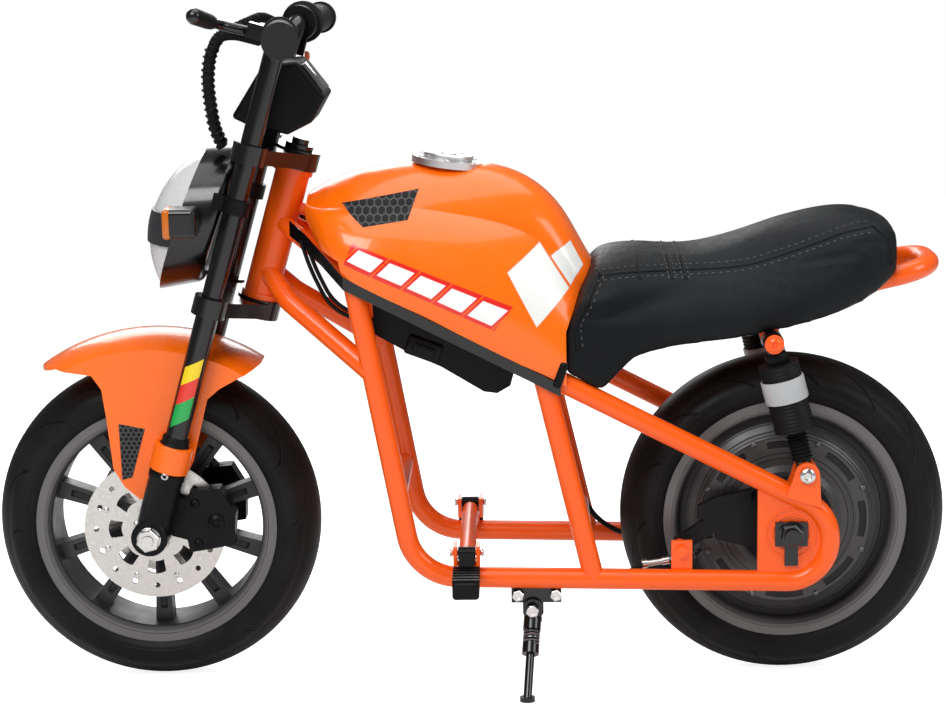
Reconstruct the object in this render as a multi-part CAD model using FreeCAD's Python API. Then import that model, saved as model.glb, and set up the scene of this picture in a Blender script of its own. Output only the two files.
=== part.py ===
import FreeCAD, Part
import math
import os
from FreeCAD import Vector

# A small electric motorcycle for a child, in millimetres. Everything is modelled with the bike
# upright: +X is forward, +Y is the rider's left, +Z is up, and Z = 0 is the floor under the
# tyres. place_on_stand() then leans the whole bike to the left until the stand's foot is down.

# Wheels and stance
LEAN_DEG = 5.0
WHEELBASE = 676.0
TYRE_R = 175.0
TYRE_HALF_WIDTH = 44.0
TYRE_CROWN_R = 46.0
TYRE_SHOULDER_Y = 34.0
TYRE_BULGE_R = 146.0
BEAD_R = 122.3
RIM_LIP_R = 130.0
RIM_LIP_INNER_R = 118.0
RIM_BARREL_R = 114.0
RIM_LIP_WALL = 2.2
RIM_HALF_WIDTH = 38.5
SEAT_GAP = 0.2
RUNNING_GAP = 0.3
AXLE_R = 6.0
AXLE_END_Y = 97.0

# Front wheel
SPOKES = 10
SPOKE_HALF_DEPTH = 11.0
SPOKE_HUB_WIDTH = 13.0
SPOKE_RIM_WIDTH = 19.0
HUB_R = 24.0
HUB_HALF_WIDTH = 42.0
DISC_R = 76.0
DISC_INNER_R = 27.0
DISC_Y = 45.5
DISC_WALL = 3.0
DISC_SLOTS = 8
DISC_HOLES = 16

# Rear wheel and its hub motor
MOTOR_R = 96.0
MOTOR_HALF_WIDTH = 40.0
MOTOR_CAP_R = 60.0
MOTOR_CAP_Y = 45.0
BRAKE_DRUM_R = 50.0
BRAKE_PLATE_Y = 52.0
BRAKE_PLATE_WALL = 8.0

# Steering axis, and the fork that turns on it
RAKE_DEG = 16.3
STEER_X = 197.4
STEER_Z = 500.0
FORK_SPREAD = 72.0
FORK_TUBE_R = 11.0
FORK_LOWER_R = 12.0
STEM_R = 12.0
HEAD_TUBE_R = 18.5
HEAD_TUBE_LOW = -85.0
HEAD_TUBE_HIGH = 60.0
HEADSET_R = 21.0
HEADSET_HEIGHT = 6.0
CLAMP_BOSS_R = 24.0
CLAMP_FORK_BOSS_R = 18.0
CLAMP_HEIGHT = 20.0
STEM_BOLT_R = 9.0
STEM_BOLT_HEIGHT = 5.0
FORK_SOCKET_TOP = -249.0
BOOT_TOP = -278.0
BOOT_INNER_Y = 59.0
BOOT_OUTER_Y = 90.0

# Handlebar and what is on it
BAR_R = 11.0
BAR_CORNER_S = 199.0
BAR_BEND_R = 30.0
BAR_END_D = 28.6
BAR_END_Y = 226.0
BAR_END_S = 203.0
GRIP_R = 15.5
GRIP_FLANGE_R = 18.0
GRIP_LENGTH = 104.0
THROTTLE_FLANGE_R = 23.0
LEVER_R = 5.0

# Frame tubes
TUBE_R = 11.0
FRAME_HALF_SPACING = 92.0
DOWN_TUBE_R = 11.0
CROSS_TUBE_R = 9.0

# Body
TANK_SKIRT = 3.2
TANK_TUBE_GAP = 0.8
TRIM_DROP = 13.0
TRIM_WALL = 3.6
SEAT_TO_TANK_GAP = 0.8
AXLE_PLATE_WALL = 6.0

HALF_BASE = WHEELBASE / 2
FRONT_X = HALF_BASE
REAR_X = -HALF_BASE
RAKE = math.radians(RAKE_DEG)
LEAN = math.radians(LEAN_DEG)
ALONG_Y = Vector(0, 1, 0)

# The front axle in the fork's own frame: how far ahead of the steering axis, and how far down
FORK_OFFSET = (FRONT_X - STEER_X) * math.cos(RAKE) + (TYRE_R - STEER_Z) * math.sin(RAKE)
AXLE_S = -(FRONT_X - STEER_X) * math.sin(RAKE) + (TYRE_R - STEER_Z) * math.cos(RAKE)

pieces = {}


def edges_of(start, moves, place):
    """Lines and arcs from a start: a move is (a, b), or (via_a, via_b, a, b) for an arc."""
    edges = []
    here = start
    for move in moves:
        there = move[-2:]
        if len(move) == 2:
            edges.append(Part.LineSegment(place(*here), place(*there)).toShape())
        else:
            edges.append(Part.Arc(place(*here), place(*move[:2]), place(*there)).toShape())
        here = there
    if here != start:
        edges.append(Part.LineSegment(place(*here), place(*start)).toShape())
    return edges


def face_of(start, moves, place):
    return Part.Face(Part.Wire(edges_of(start, moves, place)))


def side_plate(start, moves, y_from, y_to):
    """An outline in (x, z), extruded sideways."""
    face = face_of(start, moves, lambda x, z: Vector(x, y_from, z))
    return face.extrude(Vector(0, y_to - y_from, 0))


def spun(start, moves, axle_x, start_deg=0, sweep_deg=360):
    """An outline in (y, radius), turned about a wheel's axle."""
    face = face_of(start, moves, lambda y, r: Vector(axle_x, y, TYRE_R + r))
    centre = Vector(axle_x, 0, TYRE_R)
    if start_deg:
        face.rotate(centre, ALONG_Y, start_deg)
    return face.revolve(centre, ALONG_Y, sweep_deg)


def rod(start, end, radius):
    start, end = Vector(*start), Vector(*end)
    return Part.makeCylinder(radius, (end - start).Length, start, end - start)


def fused(shapes):
    return shapes[0].multiFuse(shapes[1:]).removeSplitter() if len(shapes) > 1 else shapes[0]


def bent_tube(points, bend_radii, radius):
    """A round bar that follows straight runs joined by tangent arcs."""
    points = [Vector(*p) for p in points]
    edges = []
    here = points[0]
    for before, corner, after, bend in zip(points, points[1:], points[2:], bend_radii):
        back = (before - corner).normalize()
        on = (after - corner).normalize()
        half = back.getAngle(on) / 2
        reach = bend / math.tan(half)
        middle = (back + on).normalize()
        centre = corner + middle * (bend / math.sin(half))
        start, end = corner + back * reach, corner + on * reach
        if (start - here).Length > 1e-6:
            edges.append(Part.LineSegment(here, start).toShape())
        edges.append(Part.Arc(start, centre - middle * bend, end).toShape())
        here = end
    edges.append(Part.LineSegment(here, points[-1]).toShape())
    path = Part.Wire(edges)
    ring = Part.Wire(Part.makeCircle(radius, points[0], points[1] - points[0]))
    return path.makePipeShell([ring], True, False)


def mirrored(shape):
    return shape.mirror(Vector(0, 0, 0), ALONG_Y)


def pair(shape):
    """A left piece and its mirror image, as two solids of one node."""
    return Part.makeCompound([shape, mirrored(shape)])


def biggest(shape):
    return max(shape.Solids, key=lambda solid: solid.Volume)


def on_fork(shape):
    """Moves a piece from the steering axis's own frame (forward, left, up the axis)."""
    turn = FreeCAD.Rotation(ALONG_Y, -RAKE_DEG)
    shape = shape.copy()
    shape.Placement = FreeCAD.Placement(Vector(STEER_X, 0, STEER_Z), turn).multiply(shape.Placement)
    return shape


def stay_z(x):
    """Height of the upper stay's centre line, which the tank's lower edge follows."""
    return STAY_Z + STAY_SLOPE * (x - STAY_X)


# Frame: where the centre lines of its tubes meet, seen from the side (x, z)
STAY_X = -87.3
STAY_Z = 346.1
STAY_SLOPE = 0.517
PILLAR_TOP_X = 115.0
PILLAR_FOOT = (57.1, 131.9)
RAIL_END = (-378.5, 121.4)
STAY_END_X = -378.5
PILLAR_BEND_R = 55.0
TURN_BEND_R = 44.0
REAR_PILLAR_TOP = (-80.0, 347.0)
REAR_PILLAR_FOOT = (-131.5, 127.0)
STAY_FRONT_GAP = 22.0
DOWN_TUBE_FOOT = (97.5, FRAME_HALF_SPACING, 352.0)
DOWN_TUBE_BEND = (187.0, 36.0, 419.0)
DOWN_TUBE_HEAD = (212.0, 8.0, 448.0)
DOWN_TUBE_BEND_R = 50.0
TANK_BOSS = [(192.0, 0.0, 518.0), (168.0, 0.0, 511.0)]
TANK_BOSS_R = 6.5
TOP_TUBE_HEAD = (193.0, 12.0, 499.0)
TOP_TUBE_R = 9.0

# Cross tubes between the two sides (x, z)
CROSS_TUBES = [(74, 214), (-122, 166), (-76, 353)]


def frame_loop():
    top = (PILLAR_TOP_X, stay_z(PILLAR_TOP_X))
    turn_top = (STAY_END_X, stay_z(STAY_END_X))
    outline = [top, PILLAR_FOOT, RAIL_END, turn_top, (PILLAR_TOP_X - STAY_FRONT_GAP, stay_z(PILLAR_TOP_X - STAY_FRONT_GAP))]
    points = [(x, FRAME_HALF_SPACING, z) for x, z in outline]
    return bent_tube(points, [PILLAR_BEND_R, TURN_BEND_R, TURN_BEND_R], TUBE_R)


def build_frame():
    loop = frame_loop()
    y = FRAME_HALF_SPACING
    head = on_fork(rod((0, 0, HEAD_TUBE_LOW), (0, 0, HEAD_TUBE_HIGH), HEAD_TUBE_R))
    cups = [on_fork(rod((0, 0, low), (0, 0, low + HEADSET_HEIGHT), HEADSET_R))
            for low in (HEAD_TUBE_LOW, HEAD_TUBE_HIGH - HEADSET_HEIGHT)]
    bore = on_fork(rod((0, 0, -200), (0, 0, 200), STEM_R + RUNNING_GAP))
    solid_head = fused([head] + cups)
    pieces["head_tube"] = fused([solid_head, rod(TANK_BOSS[0], TANK_BOSS[1], TANK_BOSS_R)]).cut(bore)

    pillar = rod((REAR_PILLAR_TOP[0], y, REAR_PILLAR_TOP[1]),
                 (REAR_PILLAR_FOOT[0], y, REAR_PILLAR_FOOT[1]), TUBE_R).cut(loop)
    pillar = biggest(pillar)
    down = bent_tube([DOWN_TUBE_FOOT, DOWN_TUBE_BEND, DOWN_TUBE_HEAD], [DOWN_TUBE_BEND_R], DOWN_TUBE_R)
    down = biggest(down.cut(loop).cut(solid_head))
    top_tube = rod((PILLAR_TOP_X - 8, y - 8, stay_z(PILLAR_TOP_X) - 10), TOP_TUBE_HEAD, TOP_TUBE_R)
    top_tube = biggest(top_tube.cut(loop).cut(solid_head).cut(down))
    pieces["frame_loop_left"] = loop
    pieces["frame_loop_right"] = mirrored(loop)
    pieces["rear_pillars"] = pair(pillar)
    pieces["down_tubes"] = pair(down)
    pieces["top_tubes"] = pair(top_tube)

    bars = []
    for x, z in CROSS_TUBES:
        bar = rod((x, -y, z), (x, y, z), CROSS_TUBE_R)
        for shape in (loop, mirrored(loop), pillar, mirrored(pillar)):
            bar = bar.cut(shape)
        bars.append(biggest(bar))
    pieces["cross_tubes"] = Part.makeCompound(bars)


# Under the seat: the tube that loops round behind it, and the rod of the shocks' top eyes
SUBFRAME_HALF_SPACING = 52.0
SUBFRAME_SIDE = [(-84.0, 368.0), (-300.0, 395.0), (-410.0, 431.0), (-489.0, 449.0)]
SHOCK_TOP = (-317.0, 380.0)
SHOCK_FOOT = (-353.0, 240.0)
SHOCK_EYE_R = 11.0
SHOCK_SLEEVE_R = 20.0
SHOCK_ROD_R = 8.0


def build_subframe():
    half = SUBFRAME_HALF_SPACING
    front = [(x, half, z) for x, z in SUBFRAME_SIDE]
    route = front + [(x, -y, z) for x, y, z in reversed(front)]
    tube = bent_tube(route, [80, 80, 40, 40, 80, 80], TUBE_R)
    pieces["seat_subframe"] = biggest(tube.cut(pieces["cross_tubes"]))
    x, z = SHOCK_TOP
    eye_rod = rod((x, -112, z), (x, 112, z), 6)
    tabs = [side_plate((x - 14, z + 16), [(x - 7, z - 9), (x + 7, z - 9), (x + 14, z + 16)],
                       sign * (half - 3), sign * (half + 3)) for sign in (-1, 1)]
    pieces["shock_top_rod"] = biggest(fused([eye_rod] + tabs).cut(tube))


def build_shocks():
    y = FRAME_HALF_SPACING
    top = Vector(SHOCK_TOP[0], y, SHOCK_TOP[1])
    foot = Vector(SHOCK_FOOT[0], y, SHOCK_FOOT[1])
    along = (foot - top).normalize()
    length = (foot - top).Length

    def at(distance):
        point = top + along * distance
        return (point.x, point.y, point.z)

    def eye(point, half_width):
        return rod((point.x, y - half_width, point.z), (point.x, y + half_width, point.z), SHOCK_EYE_R)

    sleeve = rod(at(24), at(length * 0.66), SHOCK_SLEEVE_R)
    ring = rod(at(42), at(62), SHOCK_SLEEVE_R + 2)
    shaft = rod(at(5), at(length - 5), SHOCK_ROD_R)
    body = fused([eye(top, 9), eye(foot, 7), sleeve, ring, shaft])
    body = body.cut(rod((top.x, y - 30, top.z), (top.x, y + 30, top.z), 6 + SEAT_GAP))
    body = body.cut(rod((foot.x, y - 30, foot.z), (foot.x, y + 30, foot.z), 5 + SEAT_GAP))
    foot_z = stay_z(foot.x)
    ears = []
    for low, high in ((y - 13, y - 8), (y + 8, y + 13)):
        ears.append(side_plate((foot.x - 15, foot_z - 4), [(foot.x - 13, foot.z), (foot.x, foot.z + 13, foot.x + 13, foot.z),
                                                          (foot.x + 22, foot_z + 8)], low, high))
    pin = rod((foot.x, y - 15, foot.z), (foot.x, y + 16, foot.z), 5)
    clevis = fused(ears + [pin]).cut(frame_loop())
    clevis = biggest(clevis)
    pieces["shocks"] = pair(body)
    pieces["shock_clevises"] = pair(clevis)


def build_rear_axle():
    y = FRAME_HALF_SPACING
    half_wall = AXLE_PLATE_WALL / 2
    plate = side_plate((-303, 116), [(-303, 224), (-330, 211), (-352, 200), (-374, 186), (-376, 140), (-370, 118)],
                       y - half_wall, y + half_wall)
    plate = biggest(plate.cut(frame_loop()))
    plate = plate.cut(rod((REAR_X, y - 20, TYRE_R), (REAR_X, y + 20, TYRE_R), AXLE_R + 1))
    cross = [(-17, -13), (-17, 13), (17, 13), (17, -13), (7, -13), (7, -34), (-7, -34), (-7, -13)]
    cross = [(REAR_X + x, TYRE_R + z) for x, z in cross]
    cap_y = y + half_wall
    cap = side_plate(cross[0], cross[1:], cap_y, cap_y + 4)
    cap = cap.cut(rod((REAR_X, cap_y - 1, TYRE_R), (REAR_X, cap_y + 9, TYRE_R), AXLE_R + SEAT_GAP))
    pieces["axle_plates"] = pair(plate)
    pieces["axle_caps"] = pair(cap)
    shaft = rod((REAR_X, -y - 18, TYRE_R), (REAR_X, y + 18, TYRE_R), AXLE_R)
    nuts = [rod((REAR_X, s * (y + 7), TYRE_R), (REAR_X, s * (y + 14), TYRE_R), 10) for s in (-1, 1)]
    spacers = [rod((REAR_X, s * 62, TYRE_R), (REAR_X, s * (y - 3), TYRE_R), 10) for s in (-1, 1)]
    pieces["rear_axle"] = fused([shaft] + nuts + spacers)

    drum = spun((BRAKE_PLATE_Y, AXLE_R + SEAT_GAP), [(BRAKE_PLATE_Y, BRAKE_DRUM_R),
                (BRAKE_PLATE_Y + BRAKE_PLATE_WALL, BRAKE_DRUM_R - 4),
                (BRAKE_PLATE_Y + BRAKE_PLATE_WALL, AXLE_R + SEAT_GAP)], REAR_X)
    arm = side_plate((-300, 214), [(-262, 205), (-243, 196), (-243, 182), (-262, 180), (-262, 160), (-300, 150)],
                     BRAKE_PLATE_Y, BRAKE_PLATE_Y + BRAKE_PLATE_WALL)
    tab_arm = side_plate((-262, 182), [(-252, 182), (-218, 160), (-218, 148), (-232, 148), (-262, 168)],
                         BRAKE_PLATE_Y, BRAKE_PLATE_Y + BRAKE_PLATE_WALL)
    pieces["rear_brake_plate"] = fused([drum, arm, tab_arm])
    tab = side_plate((-213, 128), [(-213, 167), (-235, 167), (-235, 128)], 86, 90).cut(frame_loop())
    tab = biggest(tab)
    bolt = rod((-224, BRAKE_PLATE_Y + BRAKE_PLATE_WALL, 156), (-224, 86, 156), 5)
    head = rod((-224, 90, 156), (-224, 95, 156), 6)
    pieces["rear_brake_tab"] = fused([tab, bolt, head])


def build_tyre(axle_x, name):
    lip = RIM_LIP_R + SEAT_GAP
    crown = TYRE_R - TYRE_CROWN_R
    shoulder_r = crown + math.sqrt(TYRE_CROWN_R ** 2 - TYRE_SHOULDER_Y ** 2)
    bead_y = RIM_HALF_WIDTH - RIM_LIP_WALL - SEAT_GAP
    moves = [(bead_y, BEAD_R), (bead_y, lip), (RIM_HALF_WIDTH, lip),
             (TYRE_HALF_WIDTH, TYRE_BULGE_R, TYRE_SHOULDER_Y, shoulder_r),
             (0, TYRE_R, -TYRE_SHOULDER_Y, shoulder_r),
             (-TYRE_HALF_WIDTH, TYRE_BULGE_R, -RIM_HALF_WIDTH, lip), (-bead_y, lip), (-bead_y, BEAD_R)]
    pieces[name] = spun((bead_y, BEAD_R), moves[1:], axle_x)


def rim_ring(axle_x):
    well = BEAD_R - SEAT_GAP
    lip_y = RIM_HALF_WIDTH - RIM_LIP_WALL
    moves = [(RIM_HALF_WIDTH, RIM_LIP_R), (lip_y, RIM_LIP_R), (lip_y, well), (-lip_y, well),
             (-lip_y, RIM_LIP_R), (-RIM_HALF_WIDTH, RIM_LIP_R), (-RIM_HALF_WIDTH, RIM_LIP_INNER_R),
             (-lip_y + 6, RIM_BARREL_R), (lip_y - 6, RIM_BARREL_R)]
    return spun((RIM_HALF_WIDTH, RIM_LIP_INNER_R), moves, axle_x)


def build_front_wheel():
    build_tyre(FRONT_X, "front_tyre")
    hub = rod((FRONT_X, -HUB_HALF_WIDTH, TYRE_R), (FRONT_X, HUB_HALF_WIDTH, TYRE_R), HUB_R)
    spokes = []
    for number in range(SPOKES):
        tip = TYRE_R - RIM_BARREL_R - 1
        root = TYRE_R - HUB_R + 2
        spoke = side_plate((FRONT_X - SPOKE_HUB_WIDTH / 2, root),
                           [(FRONT_X - SPOKE_RIM_WIDTH / 2, tip), (FRONT_X + SPOKE_RIM_WIDTH / 2, tip),
                            (FRONT_X + SPOKE_HUB_WIDTH / 2, root)], -SPOKE_HALF_DEPTH, SPOKE_HALF_DEPTH)
        spoke.rotate(Vector(FRONT_X, 0, TYRE_R), ALONG_Y, number * 360 / SPOKES)
        spokes.append(spoke)
    wheel = fused([rim_ring(FRONT_X), hub] + spokes)
    bore = rod((FRONT_X, -100, TYRE_R), (FRONT_X, 100, TYRE_R), AXLE_R + RUNNING_GAP)
    pieces["front_rim"] = wheel.cut(bore)

    discs = []
    for side in (-1, 1):
        disc = rod((FRONT_X, side * DISC_Y, TYRE_R), (FRONT_X, side * (DISC_Y + DISC_WALL), TYRE_R), DISC_R)
        carrier = rod((FRONT_X, side * HUB_HALF_WIDTH, TYRE_R), (FRONT_X, side * (DISC_Y + 6), TYRE_R), DISC_INNER_R)
        disc = fused([disc, carrier]).cut(bore)
        windows = []
        for number in range(DISC_SLOTS):
            window = side_plate((FRONT_X - 8, TYRE_R + 34), [(FRONT_X, TYRE_R + 36, FRONT_X + 8, TYRE_R + 34),
                                (FRONT_X + 10, TYRE_R + 47), (FRONT_X, TYRE_R + 50, FRONT_X - 10, TYRE_R + 47)],
                                side * 40, side * 60)
            window.rotate(Vector(FRONT_X, 0, TYRE_R), ALONG_Y, number * 360 / DISC_SLOTS)
            windows.append(window)
        for number in range(DISC_HOLES):
            hole = rod((FRONT_X, side * 40, TYRE_R + 63), (FRONT_X, side * 60, TYRE_R + 63), 3)
            hole.rotate(Vector(FRONT_X, 0, TYRE_R), ALONG_Y, number * 360 / DISC_HOLES)
            windows.append(hole)
        discs.append(disc.cut(Part.makeCompound(windows)))
    pieces["brake_discs"] = Part.makeCompound(discs)


def build_rear_wheel():
    build_tyre(REAR_X, "rear_tyre")
    bore_r = AXLE_R + RUNNING_GAP
    web = spun((20, RIM_BARREL_R + 0.5), [(30, MOTOR_R), (MOTOR_HALF_WIDTH - 4, MOTOR_R), (MOTOR_HALF_WIDTH, MOTOR_R - 5),
               (MOTOR_HALF_WIDTH, MOTOR_CAP_R), (MOTOR_CAP_Y, MOTOR_CAP_R - 6), (MOTOR_CAP_Y, bore_r),
               (-MOTOR_CAP_Y, bore_r), (-MOTOR_CAP_Y, MOTOR_CAP_R - 6), (-MOTOR_HALF_WIDTH, MOTOR_CAP_R),
               (-MOTOR_HALF_WIDTH, MOTOR_R - 5), (-MOTOR_HALF_WIDTH + 4, MOTOR_R), (-30, MOTOR_R),
               (-20, RIM_BARREL_R + 0.5)], REAR_X)
    pieces["rear_rim_motor"] = fused([rim_ring(REAR_X), web])


def clamp_yoke(low):
    """A fork clamp: a stem boss and two fork bosses joined by a web."""
    high = low + CLAMP_HEIGHT
    inner = 14
    outline = [(-14, -20), (-14, 20), (FORK_OFFSET - inner, FORK_SPREAD + 6), (FORK_OFFSET + 6, FORK_SPREAD),
               (FORK_OFFSET - 8, 30), (FORK_OFFSET - 8, -30), (FORK_OFFSET + 6, -FORK_SPREAD),
               (FORK_OFFSET - inner, -FORK_SPREAD - 6)]
    face = face_of(outline[0], outline[1:], lambda d, y: Vector(d, y, low + 2))
    body = [face.extrude(Vector(0, 0, CLAMP_HEIGHT - 4)), rod((0, 0, low), (0, 0, high), CLAMP_BOSS_R)]
    holes = [rod((0, 0, low - 5), (0, 0, high + 5), STEM_R + SEAT_GAP)]
    for side in (-1, 1):
        y = side * FORK_SPREAD
        body.append(rod((FORK_OFFSET, y, low), (FORK_OFFSET, y, high), CLAMP_FORK_BOSS_R))
        holes.append(rod((FORK_OFFSET, y, low - 5), (FORK_OFFSET, y, high + 5), FORK_TUBE_R + SEAT_GAP))
    return on_fork(fused(body).cut(Part.makeCompound(holes)))


UPPER_CLAMP_LOW = HEAD_TUBE_HIGH + RUNNING_GAP
LOWER_CLAMP_LOW = HEAD_TUBE_LOW - RUNNING_GAP - CLAMP_HEIGHT


def build_fork():
    pieces["upper_clamp"] = clamp_yoke(UPPER_CLAMP_LOW)
    pieces["lower_clamp"] = clamp_yoke(LOWER_CLAMP_LOW)
    top = UPPER_CLAMP_LOW + CLAMP_HEIGHT
    stem = rod((0, 0, LOWER_CLAMP_LOW - 2), (0, 0, top), STEM_R)
    nut = rod((0, 0, top), (0, 0, top + STEM_BOLT_HEIGHT), STEM_BOLT_R + 6)
    bolt = rod((0, 0, top), (0, 0, top + STEM_BOLT_HEIGHT + 6), STEM_BOLT_R)
    pieces["steering_stem"] = on_fork(fused([stem, nut, bolt]))
    y = FORK_SPREAD
    upper = rod((FORK_OFFSET, y, LOWER_CLAMP_LOW), (FORK_OFFSET, y, top), FORK_TUBE_R)
    lower = rod((FORK_OFFSET, y, FORK_SOCKET_TOP), (FORK_OFFSET, y, LOWER_CLAMP_LOW), FORK_LOWER_R)
    pieces["fork_tubes"] = on_fork(pair(fused([upper, lower])))
    riser = bent_tube([(FORK_OFFSET, y, top), (FORK_OFFSET, y, BAR_CORNER_S), (BAR_END_D, BAR_END_Y, BAR_END_S)],
                      [BAR_BEND_R], BAR_R)
    pieces["handlebars"] = on_fork(pair(riser))
    build_bar_ends()
    build_boots()


def build_bar_ends():
    corner = Vector(FORK_OFFSET, FORK_SPREAD, BAR_CORNER_S)
    end = Vector(BAR_END_D, BAR_END_Y, BAR_END_S)
    along = (end - corner).normalize()

    def at(distance):
        point = end - along * distance
        return (point.x, point.y, point.z)

    bar_space = rod(at(-SEAT_GAP), at(GRIP_LENGTH + 5), BAR_R + SEAT_GAP)
    grips = []
    for flange_r in (GRIP_FLANGE_R, THROTTLE_FLANGE_R):
        grip = [rod(at(-5), at(GRIP_LENGTH), GRIP_R), rod(at(-5), at(-1), GRIP_FLANGE_R),
                rod(at(GRIP_LENGTH - 5), at(GRIP_LENGTH), flange_r)]
        grips.append(fused(grip).cut(bar_space))
    pieces["grips"] = on_fork(Part.makeCompound([grips[0], mirrored(grips[1])]))

    near, far = GRIP_LENGTH + 2, GRIP_LENGTH + 18
    start = Vector(*at(near + 9))
    knuckle = Part.makeBox(26, 20, 16, Vector(start.x + 6, start.y - 10, start.z - 12))
    perch = fused([rod(at(near), at(far), BAR_R + 6), knuckle])
    perch = perch.cut(rod(at(near - 5), at(far + 5), BAR_R + SEAT_GAP))
    pieces["lever_perch"] = on_fork(perch)
    tip = Vector(start.x + 76, start.y + 92, start.z + 2)
    lever_line = bent_tube([(start.x + 32, start.y, start.z - 6), (start.x + 62, start.y + 16, start.z - 6),
                       (tip.x, tip.y, tip.z)], [24], LEVER_R)
    pieces["brake_lever"] = on_fork(fused([lever_line, Part.makeSphere(LEVER_R + 2.5, tip)]).cut(perch))
    throttle = [rod(at(near), at(far + 6), BAR_R + 8), Part.makeBox(20, 14, 26, Vector(start.x - 12, start.y - 12, start.z - 34))]
    throttle = fused(throttle).cut(rod(at(near - 5), at(far + 12), BAR_R + SEAT_GAP))
    pieces["throttle_switch"] = on_fork(mirrored(throttle))


def build_boots():
    d, s = FORK_OFFSET, AXLE_S
    outline = [(d + 21, BOOT_TOP), (d + 21, BOOT_TOP - 42), (d + 18, s), (d, s - 20, d - 18, s),
               (d - 17, BOOT_TOP - 50), (d - 16, BOOT_TOP)]
    face = face_of(outline[0], outline[1:], lambda a, b: Vector(a, BOOT_INNER_Y, b))
    boot = face.extrude(Vector(0, BOOT_OUTER_Y - BOOT_INNER_Y, 0))
    boot = boot.cut(rod((d, BOOT_INNER_Y - 20, s), (d, BOOT_OUTER_Y + 20, s), AXLE_R + SEAT_GAP))
    pieces["fork_boots"] = on_fork(pair(boot))
    shaft = rod((FRONT_X, -AXLE_END_Y - 4, TYRE_R), (FRONT_X, AXLE_END_Y + 4, TYRE_R), AXLE_R)
    nuts = [rod((FRONT_X, s * BOOT_OUTER_Y, TYRE_R), (FRONT_X, s * (BOOT_OUTER_Y + 8), TYRE_R), 11)
            for s in (-1, 1)]
    spacers = [rod((FRONT_X, s * (DISC_Y + 6.5), TYRE_R), (FRONT_X, s * BOOT_INNER_Y, TYRE_R), 10)
               for s in (-1, 1)]
    pieces["front_axle"] = fused([shaft] + nuts + spacers)


CALIPER_MOUNT = (283.0, 186.0)


def build_calipers():
    x, z = CALIPER_MOUNT
    outline = [(x + 16, z - 34), (x + 22, z), (x + 14, z + 34), (x - 18, z + 36), (x - 34, z + 8), (x - 32, z - 26)]
    block = side_plate(outline[0], outline[1:], 40, 62)
    slot = rod((FRONT_X, DISC_Y - 1, TYRE_R), (FRONT_X, DISC_Y + DISC_WALL + 1, TYRE_R), DISC_R + 2)
    arm = side_plate((x + 8, z - 24), [(x + 8, z + 26), (x + 36, z + 24), (x + 36, z - 16)], 52, 58.8)
    pieces["brake_calipers"] = pair(fused([block, arm]).cut(slot))


FENDER_R = 209.0
FENDER_WALL = 3.0
FENDER_HALF = 57.0
FENDER_CROWN = 12.0
FENDER_SKIRT_R = 168.0
FENDER_FROM_DEG = 48.0
FENDER_TO_DEG = 128.0
FENDER_SIDE = [(458, 344), (436, 351), (397, 345), (387, 330), (383, 298), (378, 244), (367, 224), (351, 210),
               (318, 214), (300, 236), (292, 252), (275, 318), (262, 329), (240, 341), (221, 349), (196, 420),
               (338, 470), (490, 400)]
FENDER_TIP_X = 458.0


def build_fender():
    """An arched shell with flat sides, trimmed by its outline from the side and from above."""
    half = FENDER_HALF
    wall = FENDER_WALL
    edge = FENDER_R - FENDER_CROWN
    arch = [(half, edge), (0, FENDER_R + 2, -half, edge), (-half, FENDER_SKIRT_R), (-half + wall, FENDER_SKIRT_R),
            (-half + wall, edge - 2), (0, FENDER_R + 2 - wall, half - wall, edge - 2), (half - wall, FENDER_SKIRT_R)]
    shell = spun((half, FENDER_SKIRT_R), arch, FRONT_X, 90 - FENDER_TO_DEG, FENDER_TO_DEG - FENDER_FROM_DEG)
    slabs = []
    for sign in (-1, 1):
        slab = side_plate((FRONT_X + 62, 350), [(FRONT_X + 62, 190), (FRONT_X - 76, 190), (FRONT_X - 76, 350)],
                          sign * (half - wall), sign * half)
        slabs.append(slab)
    body = fused([shell] + slabs).common(side_plate(FENDER_SIDE[0], FENDER_SIDE[1:], -100, 100))
    x = FENDER_TIP_X
    above = face_of((190, -half - 1), [(x - 34, -half - 1), (x, 0, x - 34, half + 1), (190, half + 1)],
                    lambda a, b: Vector(a, b, 100))
    body = biggest(body.common(above.extrude(Vector(0, 0, 400))))
    sockets = []
    for low_y in (half, -half - 28):
        socket = Part.makeBox(30, 28, FORK_SOCKET_TOP - BOOT_TOP, Vector(FORK_OFFSET - 15, low_y, BOOT_TOP))
        sockets.append(on_fork(socket))
    pieces["front_fender"] = fused([body] + sockets)


LENS_D = 98.0
LENS_S = -22.5
LENS_R = 77.0
LENS_RISE = 34.0
HOUSING_R = 81.5
HOUSING_BACK_D = 58.0
HOUSING_BACK_S = -3.0
HOUSING_BACK_R = 78.0
HOUSING_WALL = 4.0
HEADLIGHT_TILT_DEG = -4.2
BRACKET_S = (6.0, 22.0, FORK_SPREAD)
BAND_LOW_Z = 484.0
BAND_HIGH_Z = 517.0


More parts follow.
